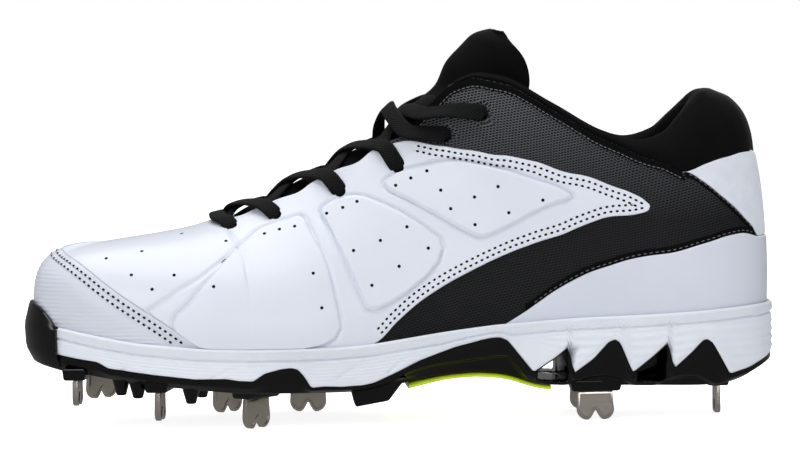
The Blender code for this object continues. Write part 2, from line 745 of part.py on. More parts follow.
LACE_LIFT = CLEARANCE * 2 + OVERLAY_GAP + OVERLAY_THICKNESS + LACE_THICKNESS / 2
LACE_OVER_TONGUE = 0.0012
LACE_LIP = 0.0018            # extra height where a bar passes the throat's edge


def lace_bar(name, start, side, finish, lift=0.0):
    # One flat bar from an eyelet on one side, over the tongue, to an eyelet on the other side.
    turns = (side * start[0], -side * finish[0])
    middle, normal, gap = throat_frame((start[0] + finish[0]) / 2)
    knots = []
    for turn, inset in zip(turns, (start[1], finish[1])):
        eyelet = skin(turn, eyelet_share(turn, inset), LACE_LIFT)
        lip = skin(turn, 1 - 0.0015 / rib_length(turn), LACE_LIFT + LACE_LIP + lift * 0.5)
        knots.append((eyelet, lip))
    crown = middle + normal * (tongue_rise(middle, normal) + LACE_OVER_TONGUE + LACE_THICKNESS / 2 + lift)
    quarters = [(knots[i][1] + crown) / 2 + normal * gap * TONGUE_CROWN * 0.35 for i in (0, 1)]
    path = smooth_through([knots[0][0], knots[0][1], quarters[0], crown, quarters[1], knots[1][1], knots[1][0]], 8)
    rings = []
    for i, point in enumerate(path):
        ahead = path[min(i + 1, len(path) - 1)] - path[max(i - 1, 0)]
        ahead = ahead / np.linalg.norm(ahead)
        share = i / (len(path) - 1)
        turn = turns[0] if share < 0.5 else turns[1]
        side_normal = skin(turn, 0.95, 0.001) - skin(turn, 0.95)
        bow = 1 - abs(2 * share - 1)
        up = side_normal / np.linalg.norm(side_normal) * (1 - bow) + normal * bow
        wide = np.cross(ahead, up)
        wide = wide / np.linalg.norm(wide) * LACE_WIDTH / 2
        thick = np.cross(wide, ahead)
        thick = thick / np.linalg.norm(thick) * LACE_THICKNESS / 2
        rings.append([point - wide - thick, point - wide + thick, point + wide + thick, point + wide - thick])
    return loft(name, rings)


def build_laces(skin_material):
    bars = [(EYELETS[0], -1, EYELETS[0])]
    for low, high in zip(EYELETS, EYELETS[1:]):
        bars.append((low, -1, high))
        bars.append((low, 1, high))
    laces = new_object("laces", lace_bar("laces", *bars[0], lift=LACE_THICKNESS), skin_material)
    for number, bar in enumerate(bars[1:], 1):
        name = f"lace_bar_{number}"
        lift = 0.0 if number % 2 else LACE_THICKNESS * 0.9
        piece = new_object(name, lace_bar(name, *bar, lift=lift), bpy.data.materials.new(name))
        boolean(laces, cutter(piece), "UNION")
    return laces


# The sole
FEATHER_X = [along(place) for place, _ in FEATHER]
FEATHER_Z = [sole_height(share) for _, share in FEATHER]
FOAM_X = [along(place) for place, _ in FOAM_BOTTOM]
FOAM_Z = [sole_height(share) for _, share in FOAM_BOTTOM]
PLATE_X = [along(place) for place, _ in PLATE_BOTTOM]
PLATE_Z = [sole_height(share) for _, share in PLATE_BOTTOM]


def feather_height(x):
    return float(np.interp(x, FEATHER_X, FEATHER_Z))


def foam_height(x):
    return float(np.interp(x, FOAM_X, FOAM_Z))


def plate_height(x):
    return float(np.interp(x, PLATE_X, PLATE_Z))


@lru_cache(maxsize=None)
def outline_sides(grow):
    ring = np.array([edge(-number / 30, grow) for number in range(POINTS_ROUND * 30)])
    ring = np.roll(ring, -int(np.argmin(ring[:, 0])), axis=0)
    tail = int(np.argmax(ring[:, 0]))
    medial = ring[:tail + 1]
    lateral = np.vstack([ring[tail:], ring[:1]])[::-1]
    return medial, lateral


def ends(grow):
    medial, _ = outline_sides(grow)
    return medial[0][0], medial[-1][0]


def sole_point(share, side, grow, span=None):
    # A point at a share of an outline's length, on one side of it. span is another outline to take the share of.
    toe, heel = ends(grow if span is None else span)
    x = blend(toe, heel, share)
    line = outline_sides(grow)[0 if side < 0 else 1]
    return x, float(np.interp(x, line[:, 0], line[:, 1]))


END_SHARES = [0.0004, 0.002, 0.005, 0.010, 0.018, 0.028]
SMALLEST_STEP = 0.0012       # between the sole's sections, as shares of its length
LARGEST_STEP = 0.034


def sole_stations(heights=FOAM_X):
    places = [x for x in heights if abs(x) < LENGTH * 0.46]
    toe, heel = ends(PLATE_GROW)
    middle = sorted((x - toe) / (heel - toe) for x in places)
    stations = list(END_SHARES)
    for share in middle + [1 - end for end in reversed(END_SHARES)]:
        gap = share - stations[-1]
        if gap > SMALLEST_STEP:
            extra = math.ceil(gap / LARGEST_STEP) - 1
            stations += [stations[-1] + gap / (extra + 1) * (i + 1) for i in range(extra)]
            stations.append(share)
    return stations


def build_midsole(foam):
    rings = []
    for share in sole_stations():
        ring = []
        for side in (-1, 1):
            toe_x = sole_point(share, side, PLATE_GROW)[0]
            top = feather_height(toe_x)
            bottom = foam_height(toe_x)
            tall = top - bottom
            rim = top - min(RIM_HEIGHT, 0.62 * tall)
            groove = min(STEP_DEPTH, 0.08 * tall)
            levels = [
                (PLATE_GROW, bottom), (WALL_GROW, bottom + 0.12 * tall), (WALL_GROW - 0.0003, rim - 2 * groove),
                (WALL_GROW - STEP_DEPTH, rim - groove), (WALL_GROW, rim), (WALL_GROW, top - 0.0004),
                (WALL_GROW - 0.0005, top),
            ]
            line = []
            for grow, z in levels:
                x, y = sole_point(share, side, grow)
                line.append((x, y, z))
            ring += line if side < 0 else line[::-1]
        rings.append(ring)
    obj = new_object("midsole", loft("midsole", rings), foam)
    boolean(obj, build_cup_cutter(), "DIFFERENCE")
    return obj


def flat_solid(name, grow, bottom, top, heights, first=0.0, last=1.0, span=None):
    # A solid inside the outline between two heights, which are functions of x.
    rings = []
    stations = [share for share in sole_stations(heights) if first <= share <= last]
    for share in stations:
        left = sole_point(share, -1, grow, span)
        right = sole_point(share, 1, grow, span)
        rings.append([
            (*left, bottom(left[0])), (*right, bottom(right[0])), (*right, top(right[0])), (*left, top(left[0])),
        ])
    return loft(name, rings)


def build_cup_cutter():
    mesh = flat_solid("cup", CLEARANCE, lambda x: feather_height(x) - CUP_DEPTH,
                      lambda x: feather_height(x) + CUP_DEPTH, FEATHER_X)
    return cutter(new_object("cup", mesh, bpy.data.materials.new("cup")))


def build_insole(cloth):
    def floor(x):
        return feather_height(x) - CUP_DEPTH + CLEARANCE

    def top(x):
        return floor(x) + INSOLE_THICKNESS

    return new_object("insole", flat_solid("insole", -UPPER_WALL - INSOLE_GAP, floor, top, FEATHER_X), cloth)


def build_shank(gloss):
    def top(x):
        return plate_height(x) - CLEARANCE

    def bottom(x):
        return top(x) - SHANK_THICKNESS

    mesh = flat_solid("shank_strip", PLATE_GROW - PLATE_TAPER - SHANK_MARGIN, bottom, top, FOAM_X,
                      SHANK_START, SHANK_END, PLATE_GROW - PLATE_TAPER)
    return new_object("shank_strip", mesh, gloss)


def build_plate(gloss):
    rings = []
    for share in sole_stations():
        ring = []
        for side in (-1, 1):
            top = foam_height(sole_point(share, side, PLATE_GROW)[0]) - CLEARANCE
            bottom = plate_height(sole_point(share, side, PLATE_GROW - PLATE_TAPER)[0])
            levels = [
                (PLATE_GROW - PLATE_TAPER, bottom), (PLATE_GROW - PLATE_TAPER * 0.25, blend(bottom, top, 0.3)),
                (PLATE_GROW, top),
            ]
            line = []
            for grow, z in levels:
                line.append((*sole_point(share, side, grow), z))
            ring += line if side < 0 else line[::-1]
        rings.append(ring)
    obj = new_object("outsole_plate", loft("outsole_plate", rings), gloss)
    for number, (start, end, depth) in enumerate(RECESSES):
        for side in (-1, 1):
            opening = build_recess_cutter(f"recess_{number}_{side}", start, end, depth, side)
            boolean(obj, opening, "DIFFERENCE")
    for lug in build_lugs():
        boolean(obj, lug, "UNION")
    return obj


def build_recess_cutter(name, start, end, depth, side):
    # A scoop into the plate's side, as tall as the wave above it allows.
    places = sorted({start, end} | {place for place, _ in FOAM_BOTTOM if start < place < end})
    floor = [(along(place), plate_height(along(place)) + RECESS_MARGIN) for place in places]
    roof = [(along(place), foam_height(along(place)) - RECESS_MARGIN) for place in reversed(places)]
    profile = floor + roof
    middle_x = (along(start) + along(end)) / 2
    middle_z = sum(z for _, z in profile) / len(profile)
    rings = []
    line = outline_sides(PLATE_GROW)[0 if side < 0 else 1]
    wall = float(np.interp(middle_x, line[:, 0], line[:, 1]))
    for share, shrink in [(-RECESS_START / depth, 1.0)] + RECESS_NARROWING:
        ring = []
        for x, z in profile:
            y = wall - side * share * depth
            ring.append((blend(middle_x, x, shrink), y, blend(middle_z, z, shrink)))
        rings.append(ring)
    return cutter(new_object(name, loft(name, rings), bpy.data.materials.new(name)))


LUG_ROOT = 0.0012            # how far a lug stands up inside the plate
PAD_ROOT = 0.0024
PAD_FLARE = 1.12             # a spike pad's size at the plate over its size below
PAD_CORNER = 0.0025
CONE_TAPER = 0.5             # a lug's size at its tip over its size at the plate
BLOCK_TAPER = 0.72


def build_lugs():
    lugs = []
    for name, place, side, turn, _ in SPIKES:
        bm = bmesh.new()
        x = along(place)
        bottom = plate_height(x) - SPIKE_PAD_HEIGHT
        length = SPIKE_WIDTH + 2 * SPIKE_PAD_MARGIN
        width = SPIKE_THICKNESS + 2 * SPIKE_PAD_MARGIN
        tall = SPIKE_PAD_HEIGHT + PAD_ROOT
        bmesh.ops.create_cube(bm, size=1.0)
        for vert in bm.verts:
            taper = 1.0 if vert.co.z < 0 else PAD_FLARE
            vert.co = Vector((vert.co.x * length * taper, vert.co.y * width * taper, vert.co.z * tall))
        uprights = [line for line in bm.edges if abs(line.verts[0].co.z - line.verts[1].co.z) > tall / 2]
        bmesh.ops.bevel(bm, geom=uprights, offset=PAD_CORNER, segments=1, affect="EDGES", profile=0.5)
        matrix = Matrix.Translation((x, across(side), bottom + tall / 2))
        matrix = matrix @ Matrix.Rotation(math.radians(turn), 4, "Z")
        bmesh.ops.transform(bm, matrix=matrix, verts=bm.verts)
        lugs.append(lug_object(name + "_pad", bm))
    for number, (place, side) in enumerate(CONES):
        bm = bmesh.new()
        top = plate_height(along(place)) + LUG_ROOT
        tall = CONE_HEIGHT + LUG_ROOT
        matrix = Matrix.Translation((along(place), across(side), top - tall / 2))
        bmesh.ops.create_cone(bm, cap_ends=True, segments=8, radius1=CONE_RADIUS * CONE_TAPER,
                              radius2=CONE_RADIUS, depth=tall, matrix=matrix)
        lugs.append(lug_object(f"cone_{number}", bm))
    for number, (start, end, inner, outer, tip) in enumerate(BLOCKS):
        bm = bmesh.new()
        top = min(foam_height(along(start)), foam_height(along(end))) - 2 * CLEARANCE
        bottom = sole_height(tip)
        size = Vector((along(end) - along(start), abs(across(outer) - across(inner)), top - bottom))
        middle = Vector((along((start + end) / 2), across((inner + outer) / 2), (top + bottom) / 2))
        bmesh.ops.create_cube(bm, size=1.0)
        for vert in bm.verts:
            taper = BLOCK_TAPER if vert.co.z < 0 else 1.0
            vert.co = Vector((vert.co.x * size.x * taper, vert.co.y * size.y * taper, vert.co.z * size.z)) + middle
        lugs.append(lug_object(f"block_{number}", bm))
    return lugs


def lug_object(name, bm):
    return cutter(new_object(name, mesh_from(name, bm), bpy.data.materials.new(name)))


SPIKE_STEPS = 6              # points along each half of a blade's lower edge
SPIKE_SHOULDER = 0.3         # how far up its ends the lower edge curls, as a share of the blade's height


def spike_profile(tall):
    # The blade's outline from its middle: two lobes with a notch between them.
    half = SPIKE_WIDTH / 2
    lower = []
    for i in range(-SPIKE_STEPS, SPIKE_STEPS + 1):
        u = abs(i) / SPIKE_STEPS
        if u < 0.5:
            z = SPIKE_NOTCH * (0.5 + 0.5 * math.cos(math.pi * u / 0.5))
        else:
            z = SPIKE_SHOULDER * tall * (1 - math.sqrt(1 - ((u - 0.5) / 0.5) ** 2))
        lower.append((half * i / SPIKE_STEPS, z))
    return lower + [(half, tall), (-half, tall)]


def build_spike(name, place, side, turn, tip, steel):
    x = along(place)
    top = plate_height(x) - SPIKE_PAD_HEIGHT - CLEARANCE
    bottom = sole_height(tip)
    profile = spike_profile(top - bottom)
    half = SPIKE_THICKNESS / 2
    rings = [[(u, y, z + bottom) for u, z in profile] for y in (-half, half)]
    mesh = loft(name, rings)
    mesh.transform(Matrix.Translation((x, across(side), 0.0)) @ Matrix.Rotation(math.radians(turn), 4, "Z"))
    return new_object(name, mesh, steel)


GUARD_SECTIONS = 15
GUARD_FALL = 0.004           # how much lower the guard's top is at its ends
GUARD_LIP = 0.0006           # above the feather line and the plate
GUARD_CHAMFER = 0.001
GUARD_THINNING = 0.7         # the guard's thickness at its top over that below


def build_guard(rubber):
    toe, _ = ends(0.0)
    rows = np.arange(0.0, 6.0, 0.02)
    first = -max(row for row in rows if edge(-row)[0] < toe + GUARD_REACH)
    last = max(row for row in rows if edge(row)[0] < toe + GUARD_REACH)
    inner = WALL_GROW + CLEARANCE
    over_cap = CLEARANCE * 2 + OVERLAY_GAP + TOE_CAP_THICKNESS
    rings = []
    for i in range(GUARD_SECTIONS):
        part = i / (GUARD_SECTIONS - 1)
        turn = blend(first, last, part)
        x = edge(turn)[0]
        feather = feather_height(edge(turn, WALL_GROW)[0])
        low = plate_height(x) + GUARD_LIP
        share = share_at_height(turn, GUARD_TOP - GUARD_FALL * (2 * part - 1) ** 2)
        ring = []
        for grow, z in ((inner, low), (inner, feather + GUARD_LIP)):
            ring.append((*edge(turn, grow), z))
        ring.append(tuple(skin(turn, share, over_cap)))
        ring.append(tuple(skin(turn, share, over_cap + GUARD_THICKNESS * GUARD_THINNING)))
        for z in (feather - GUARD_CHAMFER, low + GUARD_CHAMFER):
            ring.append((*edge(turn, inner + GUARD_THICKNESS), z))
        rings.append(ring)
    return new_object("toe_guard", loft("toe_guard", rings), rubber)


def share_at_height(turn, z):
    line_shares, points, _ = rib_line(round(turn, 5))
    return float(np.interp(z, points[:, 2], line_shares))


def centre_over_origin():
    # Moves everything so that the shoe's box stands centred on the origin.
    bpy.context.view_layer.update()
    depsgraph = bpy.context.evaluated_depsgraph_get()
    corners = []
    for obj in bpy.data.collections[COLLECTION_NAME].objects:
        box = obj.evaluated_get(depsgraph).bound_box
        corners += [obj.matrix_world @ Vector(corner) for corner in box]
    for axis in (0, 1):
        values = [corner[axis] for corner in corners]
        for obj in bpy.data.objects:
            obj.location[axis] -= (min(values) + max(values)) / 2


def start_scene():
    for obj in list(bpy.data.objects):
        bpy.data.objects.remove(obj)
    for name in (COLLECTION_NAME, "Cutters"):
        collection = bpy.data.collections.new(name)
        bpy.context.scene.collection.children.link(collection)


def main():
    start_scene()
    white = (0.86, 0.87, 0.90)
    black = (0.02, 0.02, 0.022)
    upper = build_upper(material("Coated leather", white, 0.4))
    wing = build_wing(material("Coated overlay", white, 0.35))
    holes = build_eyelet_cutter("eyelet_holes", EYELETS)
    boolean(upper, holes, "DIFFERENCE")
    overlay_holes = build_eyelet_cutter("overlay_eyelet_holes", EYELETS[:OVERLAY_EYELETS])
    boolean(wing, overlay_holes, "DIFFERENCE", "MANIFOLD")
    build_toe_cap(material("Toe cap", white, 0.45))
    build_counter(material("Heel counter", white, 0.35))
    build_collar(material("Collar fabric", black, 0.9))
    build_tongue(material("Tongue fabric", black, 0.9))
    build_laces(material("Lace", black, 0.85))
    build_insole(material("Insole fabric", (0.05, 0.05, 0.055), 0.9))
    build_midsole(material("Foam", white, 0.5))
    build_plate(material("Moulded plate", black, 0.2))
    build_shank(material("Strip", (0.62, 0.80, 0.05), 0.3))
    build_guard(material("Toe rubber", black, 0.3))
    steel = (0.62, 0.60, 0.57)
    for name, place, side, turn, tip in SPIKES:
        build_spike(name, place, side, turn, tip, material(name, steel, 0.25, 1.0))
    centre_over_origin()


main()
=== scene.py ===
import math

import bmesh
import bpy
import numpy as np
from mathutils import Matrix, Vector
from mathutils.kdtree import KDTree


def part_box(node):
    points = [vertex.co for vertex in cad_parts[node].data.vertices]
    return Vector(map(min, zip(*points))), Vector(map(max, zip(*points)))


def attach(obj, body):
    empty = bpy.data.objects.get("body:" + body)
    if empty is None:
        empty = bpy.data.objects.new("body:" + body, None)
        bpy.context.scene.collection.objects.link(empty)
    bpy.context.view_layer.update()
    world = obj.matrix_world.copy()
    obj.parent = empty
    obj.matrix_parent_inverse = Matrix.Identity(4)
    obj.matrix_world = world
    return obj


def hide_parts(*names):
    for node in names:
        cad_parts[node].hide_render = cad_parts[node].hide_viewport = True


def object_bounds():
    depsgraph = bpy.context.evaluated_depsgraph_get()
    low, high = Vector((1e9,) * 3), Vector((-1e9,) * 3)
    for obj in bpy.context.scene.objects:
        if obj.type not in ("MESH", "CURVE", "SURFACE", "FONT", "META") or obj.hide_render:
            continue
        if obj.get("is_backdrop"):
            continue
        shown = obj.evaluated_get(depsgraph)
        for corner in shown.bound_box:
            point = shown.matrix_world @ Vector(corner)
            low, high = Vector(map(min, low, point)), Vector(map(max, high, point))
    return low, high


# A white and black metal-spiked baseball cleat for the right foot, seen from its inner side.
# Toe to -X, inner side to -Y, metres. The last's tables follow the CAD part's.

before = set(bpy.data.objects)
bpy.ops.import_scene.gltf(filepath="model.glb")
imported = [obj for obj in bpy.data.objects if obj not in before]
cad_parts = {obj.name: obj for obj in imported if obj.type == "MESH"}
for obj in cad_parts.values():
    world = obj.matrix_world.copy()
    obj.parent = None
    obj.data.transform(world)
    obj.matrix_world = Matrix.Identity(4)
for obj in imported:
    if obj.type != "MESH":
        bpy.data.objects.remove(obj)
cadBox = [list(corner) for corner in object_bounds()]

# The last
last = {
    "length": 0.300,
    "ballWidth": 0.100,
    "stackHeight": 0.045,
    "upperHeight": 0.112,
    "throatRow": 5.6,
    "collarRow": 9.3,
    "wall": 0.0020,
    "cupDepth": 0.0026,
}

outlineRows = [
    (1.0, 8.0, -8.0), (1.5, 18.0, 1.0), (4.0, 29.0, 14.0), (9.3, 38.0, 31.0), (16.7, 43.5, 44.0),
    (24.7, 46.5, 50.5), (32.7, 45.5, 52.5), (42.0, 40.0, 50.0), (52.0, 33.0, 45.0), (62.7, 30.0, 39.0),
    (74.0, 31.0, 35.5), (84.7, 32.0, 33.5), (92.7, 28.5, 29.0), (97.3, 19.0, 19.0), (98.9, 8.5, 8.5),
    (99.2, 0.0, 0.0),
]
lastRow = len(outlineRows) - 1
ribRows = [
    # foot, top, axis, half, height, low, rise, reach, high, drop
    (0.0, 10.0, -7.0, 0.0, 25.2, 2.0, 0.80, 0.82, 0.0, 0.00),
    (1.0, 10.4, -7.0, 0.0, 25.2, 2.0, 0.78, 0.82, 0.0, 0.00),
    (2.0, 11.6, -7.0, 0.0, 25.6, 2.2, 0.76, 0.78, 0.0, 0.00),
    (3.0, 14.0, -6.5, 0.0, 26.5, 2.5, 0.72, 0.72, 0.0, 0.00),
    (4.0, 17.7, -6.0, 0.0, 27.9, 3.0, 0.65, 0.65, 0.0, 0.00),
    (5.0, 22.0, -5.0, 0.0, 30.0, 3.0, 0.60, 0.62, 0.0, 0.00),
    (5.6, 24.6, -4.5, 0.0, 32.0, 3.0, 0.56, 0.60, 0.0, 0.02),
    (5.85, 25.2, -4.5, 4.8, 32.3, 3.0, 0.55, 0.58, 0.0, 0.03),
    (6.15, 26.7, -4.4, 7.8, 33.2, 3.1, 0.54, 0.56, 0.0, 0.05),
    (6.5, 29.8, -4.0, 10.2, 35.8, 3.2, 0.52, 0.54, 0.0, 0.06),
    (7.0, 35.0, -3.5, 13.0, 42.0, 3.5, 0.48, 0.50, 0.0, 0.10),
    (8.0, 44.7, -3.0, 15.0, 55.2, 4.0, 0.42, 0.45, 0.0, 0.13),
    (8.5, 49.6, -2.5, 16.5, 62.5, 4.5, 0.40, 0.38, 0.5, 0.16),
    (9.0, 53.9, -2.0, 18.5, 73.8, 5.0, 0.38, 0.30, 1.0, 0.20),
    (9.4, 57.2, -2.0, 21.0, 81.6, 5.0, 0.36, 0.22, 2.0, 0.24),
    (9.7, 60.0, -1.5, 23.5, 84.2, 4.8, 0.35, 0.18, 2.5, 0.26),
    (10.0, 63.2, -1.0, 25.5, 83.0, 4.5, 0.35, 0.15, 3.0, 0.28),
    (10.5, 70.0, -0.5, 28.0, 73.2, 4.0, 0.35, 0.12, 3.0, 0.30),
    (11.0, 76.7, 0.0, 29.5, 63.0, 3.5, 0.36, 0.10, 3.0, 0.30),
    (11.4, 81.3, 0.0, 29.0, 59.4, 3.0, 0.38, 0.12, 4.0, 0.26),
    (11.8, 84.7, 0.0, 26.5, 61.8, 3.0, 0.40, 0.18, 4.5, 0.20),
    (12.2, 87.3, 0.0, 22.5, 67.6, 3.0, 0.41, 0.28, 4.0, 0.18),
    (12.7, 89.7, 0.0, 17.0, 73.4, 2.6, 0.41, 0.42, 3.0, 0.18),
    (13.3, 91.1, 0.0, 11.0, 76.3, 2.2, 0.45, 0.60, 2.0, 0.12),
    (14.0, 92.0, 0.0, 5.0, 76.8, 1.8, 0.48, 0.76, 1.0, 0.06),
    (15.0, 92.3, 0.0, 0.0, 76.8, 1.5, 0.50, 0.86, 0.0, 0.04),
]
# Seams on the upper: a row round the outline, and a share of the way up.
collarSeamRows = [
    (9.3, 0.982), (10.0, 0.975), (10.5, 0.97), (11.1, 0.955), (11.56, 0.882), (11.9, 0.761),
    (12.26, 0.732), (12.9, 0.694), (14.0, 0.665), (15.0, 0.65),
]
toeSeamRows = [
    (0.0, 0.675), (1.0, 0.63), (1.9, 0.556), (2.7, 0.436), (3.45, 0.286), (4.2, 0.134),
    (4.65, 0.030), (4.80, 0.0),
]
wingLowerRows = [
    (4.65, 0.0), (5.2, 0.0), (7.30, 0.0), (7.40, 0.012), (7.68, 0.10), (8.06, 0.187), (8.54, 0.252),
    (9.03, 0.281), (9.51, 0.303), (9.92, 0.334), (10.76, 0.505), (11.05, 0.553), (11.16, 0.574),
    (11.22, 0.592), (11.25, 0.612),
]
wingUpperRows = [
    (8.3, 0.985), (8.5, 0.965), (8.85, 0.838), (9.22, 0.734), (9.61, 0.668), (10.22, 0.647),
    (10.75, 0.690), (11.0, 0.686), (11.13, 0.672), (11.21, 0.653), (11.25, 0.628),
]
counterUpperRows = [
    (9.02, 0.0), (9.15, 0.020), (9.65, 0.111), (10.33, 0.214), (11.04, 0.32), (11.83, 0.368),
    (12.6, 0.345), (13.24, 0.30), (15.0, 0.29),
]
heelPanelRows = [
    (11.86, 0.765), (12.1, 0.66), (12.3, 0.567), (12.6, 0.46), (12.93, 0.37), (13.3, 0.30),
    (15.0, 0.295),
]
featherRows = [
    (0.0, 95.5), (3.7, 91.8), (8.7, 84.4), (14.3, 77.3), (23.0, 71.8), (29.3, 70.2), (35.7, 70.0),
    (41.3, 70.4), (45.7, 72.4), (51.7, 77.8), (55.3, 81.1), (62.0, 86.2), (72.7, 91.1),
    (83.0, 93.3), (89.7, 95.6), (95.0, 98.4), (100.0, 100.7),
]
foamBottomRows = [
    (0.0, 69.3), (4.0, 68.4), (6.7, 64.9), (9.3, 62.2), (10.7, 56.7), (16.3, 51.1), (22.0, 46.7),
    (26.0, 46.7), (27.7, 44.7), (29.5, 44.0), (31.0, 50.7), (33.0, 54.0), (34.5, 55.1),
    (35.4, 53.3), (36.2, 47.1), (37.1, 36.9), (38.7, 37.8), (41.1, 36.9), (44.0, 37.6),
    (45.4, 39.3), (48.6, 48.2), (51.7, 57.8), (56.3, 68.4), (60.6, 75.2), (61.6, 76.2),
    (62.6, 76.4), (63.6, 73.6), (67.0, 45.1), (69.8, 57.0), (71.6, 66.5), (72.4, 43.5),
    (75.0, 56.0), (77.0, 70.5), (77.9, 73.2), (78.6, 70.0), (80.2, 43.3), (82.8, 57.0),
    (84.9, 69.5), (85.7, 46.5), (88.0, 60.0), (89.5, 70.5), (90.1, 71.9), (90.9, 68.0),
    (93.1, 40.0), (95.8, 44.9), (98.0, 51.8), (100.0, 57.8),
]
plateBottomRows = [
    (0.0, 61.1), (2.3, 54.7), (5.3, 51.1), (7.3, 50.0), (11.3, 45.6), (15.7, 40.7), (22.7, 36.0),
    (28.3, 32.4), (35.7, 31.6), (42.0, 31.0), (47.0, 32.5), (50.2, 37.5), (55.3, 43.4),
    (59.3, 45.3), (63.2, 43.2), (67.9, 33.0), (71.0, 32.0), (75.7, 31.1), (81.3, 30.9),
    (89.0, 29.6), (92.3, 29.8), (93.7, 32.0), (96.0, 35.9), (98.1, 43.1), (100.0, 48.5),
]
# The heel plate's open waves, then the hollows under its solid waves: where each starts, is highest and ends
tunnelRow = (67.6, 71.4)
recessRow = (80.8, 84.6)
hollowRows = [(71.0, 76.4, 80.6), (82.9, 87.4, 91.8)]
spikeRows = [
    # name, place, side, turn in degrees, tip
    ("spike_toe_medial", 6.4, -27.0, 82.0, 22.0),
    ("spike_toe_lateral", 9.4, 25.0, 40.0, 18.0),
    ("spike_ball_medial", 17.3, -34.0, 80.0, 8.8),
    ("spike_ball_lateral", 26.6, 36.0, 42.0, 1.0),
    ("spike_waist_medial", 30.0, -33.0, 49.0, 0.0),
    ("spike_waist_lateral", 37.7, 37.0, -10.0, 0.0),
    ("spike_heel_medial", 75.4, -24.0, 3.0, 0.0),
    ("spike_heel_lateral", 75.9, 26.0, -3.0, 0.0),
    ("spike_heel_rear", 92.6, 0.0, 88.0, 0.0),
]
coneRows = [
    (12.2, -34.0), (14.4, -37.0), (21.4, -39.0), (15.0, 36.0), (20.0, 41.0), (32.0, 42.0), (23.0, -5.0),
    (31.0, 4.0),
]
blockRows = [(42.4, 50.0, -24.0, -37.0, 17.5), (44.0, 50.4, 28.0, 41.0, 18.5)]
tongueTopRows = [
    (54.9, 80.0, 16.5, 32.0), (56.4, 88.2, 17.5, 32.0), (58.4, 94.0, 18.5, 26.0),
    (60.1, 98.2, 17.5, 17.5), (62.4, 100.0, 13.0, 2.5),
]
eyeletRows = [
    (5.95, 10.5), (6.65, 9.5), (7.49, 10.0), (8.28, 11.5), (9.0, 14.5), (9.6, 16.5),
]


def cubic(t, step, low, high, lowSlope, highSlope):
    # From low to high with a given slope at each end.
    return (
        (1 + 2 * t) * (1 - t) ** 2 * low
        + t * (1 - t) ** 2 * step * lowSlope
        + t * t * (3 - 2 * t) * high
        + t * t * (t - 1) * step * highSlope
    )


def runAlong(points):
    # The length from the first point to each.
    return np.concatenate([[0.0], np.cumsum(np.linalg.norm(np.diff(points, axis=0), axis=1))])


def unit(vectors):
    return vectors / np.linalg.norm(vectors, axis=1)[:, None]


def smoothTrack(places, values):
    # A smooth line through the rows of a table that never overshoots them.
    x = np.array(places, float)
    y = np.array(values, float)
    step = np.diff(x)
    slope = np.diff(y) / step
    tangent = np.zeros(len(x))
    for i in range(1, len(x) - 1):
        if slope[i - 1] * slope[i] > 0:
            before = 2 * step[i] + step[i - 1]
            after = step[i] + 2 * step[i - 1]
            tangent[i] = (before + after) / (before / slope[i - 1] + after / slope[i])

    def read(place):
        place = np.clip(place, x[0], x[-1])
        i = np.clip(np.searchsorted(x, place) - 1, 0, len(step) - 1)
        return cubic((place - x[i]) / step[i], step[i], y[i], y[i + 1], tangent[i], tangent[i + 1])

    return read


def along(place):
    return (np.asarray(place) / 100 - 0.5) * last["length"]


def across(share):
    return np.asarray(share) / 100 * last["ballWidth"]


def soleHeight(share):
    return np.asarray(share) / 100 * last["stackHeight"]


def upperHeight(share):
    return last["stackHeight"] + np.asarray(share) / 100 * last["upperHeight"]


def closedSpline(points):
    points = np.asarray(points, float)
    count = len(points)
    chord = np.linalg.norm(np.roll(points, -1, axis=0) - points, axis=1)
    system = np.zeros((count, count))
    right = np.zeros((count, 2))
    for i in range(count):
        before = chord[i - 1]
        after = chord[i]
        system[i, i - 1] += before
        system[i, i] += 2 * (before + after)
        system[i, (i + 1) % count] += after
        stepAfter = points[(i + 1) % count] - points[i]
        stepBefore = points[i] - points[i - 1]
        right[i] = 6 * (stepAfter / after - stepBefore / before)
    bend = np.linalg.solve(system, right)

    def read(number):
        number = np.atleast_1d(np.asarray(number, float))
        i = np.floor(number).astype(int) % count
        j = (i + 1) % count
        h = chord[i][:, None]
        b = (number - np.floor(number))[:, None] * h
        a = h - b
        return (
            (bend[i] * a**3 + bend[j] * b**3) / (6 * h)
            + (points[i] / h - bend[i] * h / 6) * a
            + (points[j] / h - bend[j] * h / 6) * b
        )

    return read


outlineCurve = closedSpline(
    [(along(place), -across(half)) for place, half, _ in outlineRows]
    + [(along(place), across(half)) for place, _, half in outlineRows[1:-1]][::-1]
)


def edgeOf(turns, grow=0.0):
    # Points of the feather line, moved outwards by grow.
    number = -np.atleast_1d(np.asarray(turns, float))
    here = outlineCurve(number)
    ahead = outlineCurve(number + 0.02) - outlineCurve(number - 0.02)
    outward = unit(np.stack([ahead[:, 1], -ahead[:, 0]], 1))
    return here + outward * np.asarray(grow).reshape(-1, 1)


feather = smoothTrack([along(row[0]) for row in featherRows], [soleHeight(row[1]) for row in featherRows])
ribTracks = [smoothTrack([row[0] for row in ribRows], [row[i] for row in ribRows]) for i in range(1, 10)]


def border(rows):
    return smoothTrack([row[0] for row in rows], [row[1] for row in rows])


collarSeam = border(collarSeamRows)
toeSeam = border(toeSeamRows)
wingLower = border(wingLowerRows)
wingUpper = border(wingUpperRows)
counterUpper = border(counterUpperRows)
heelPanelLower = border(heelPanelRows)


def ridgeSlope(row):
    ahead = min(row + 0.2, last["throatRow"])
    behind = max(row - 0.2, 0.0)
    rise = upperHeight(ribTracks[3](ahead)) - upperHeight(ribTracks[3](behind))
    return rise / (along(ribTracks[0](ahead)) - along(ribTracks[0](behind)))


# The eyestay's edge dips between the eyelets: where each dip is deepest, and its depth and half width
scallops = {"rows": [6.32, 7.07, 7.9, 8.62], "depth": 0.0016, "halfWidth": 0.27}


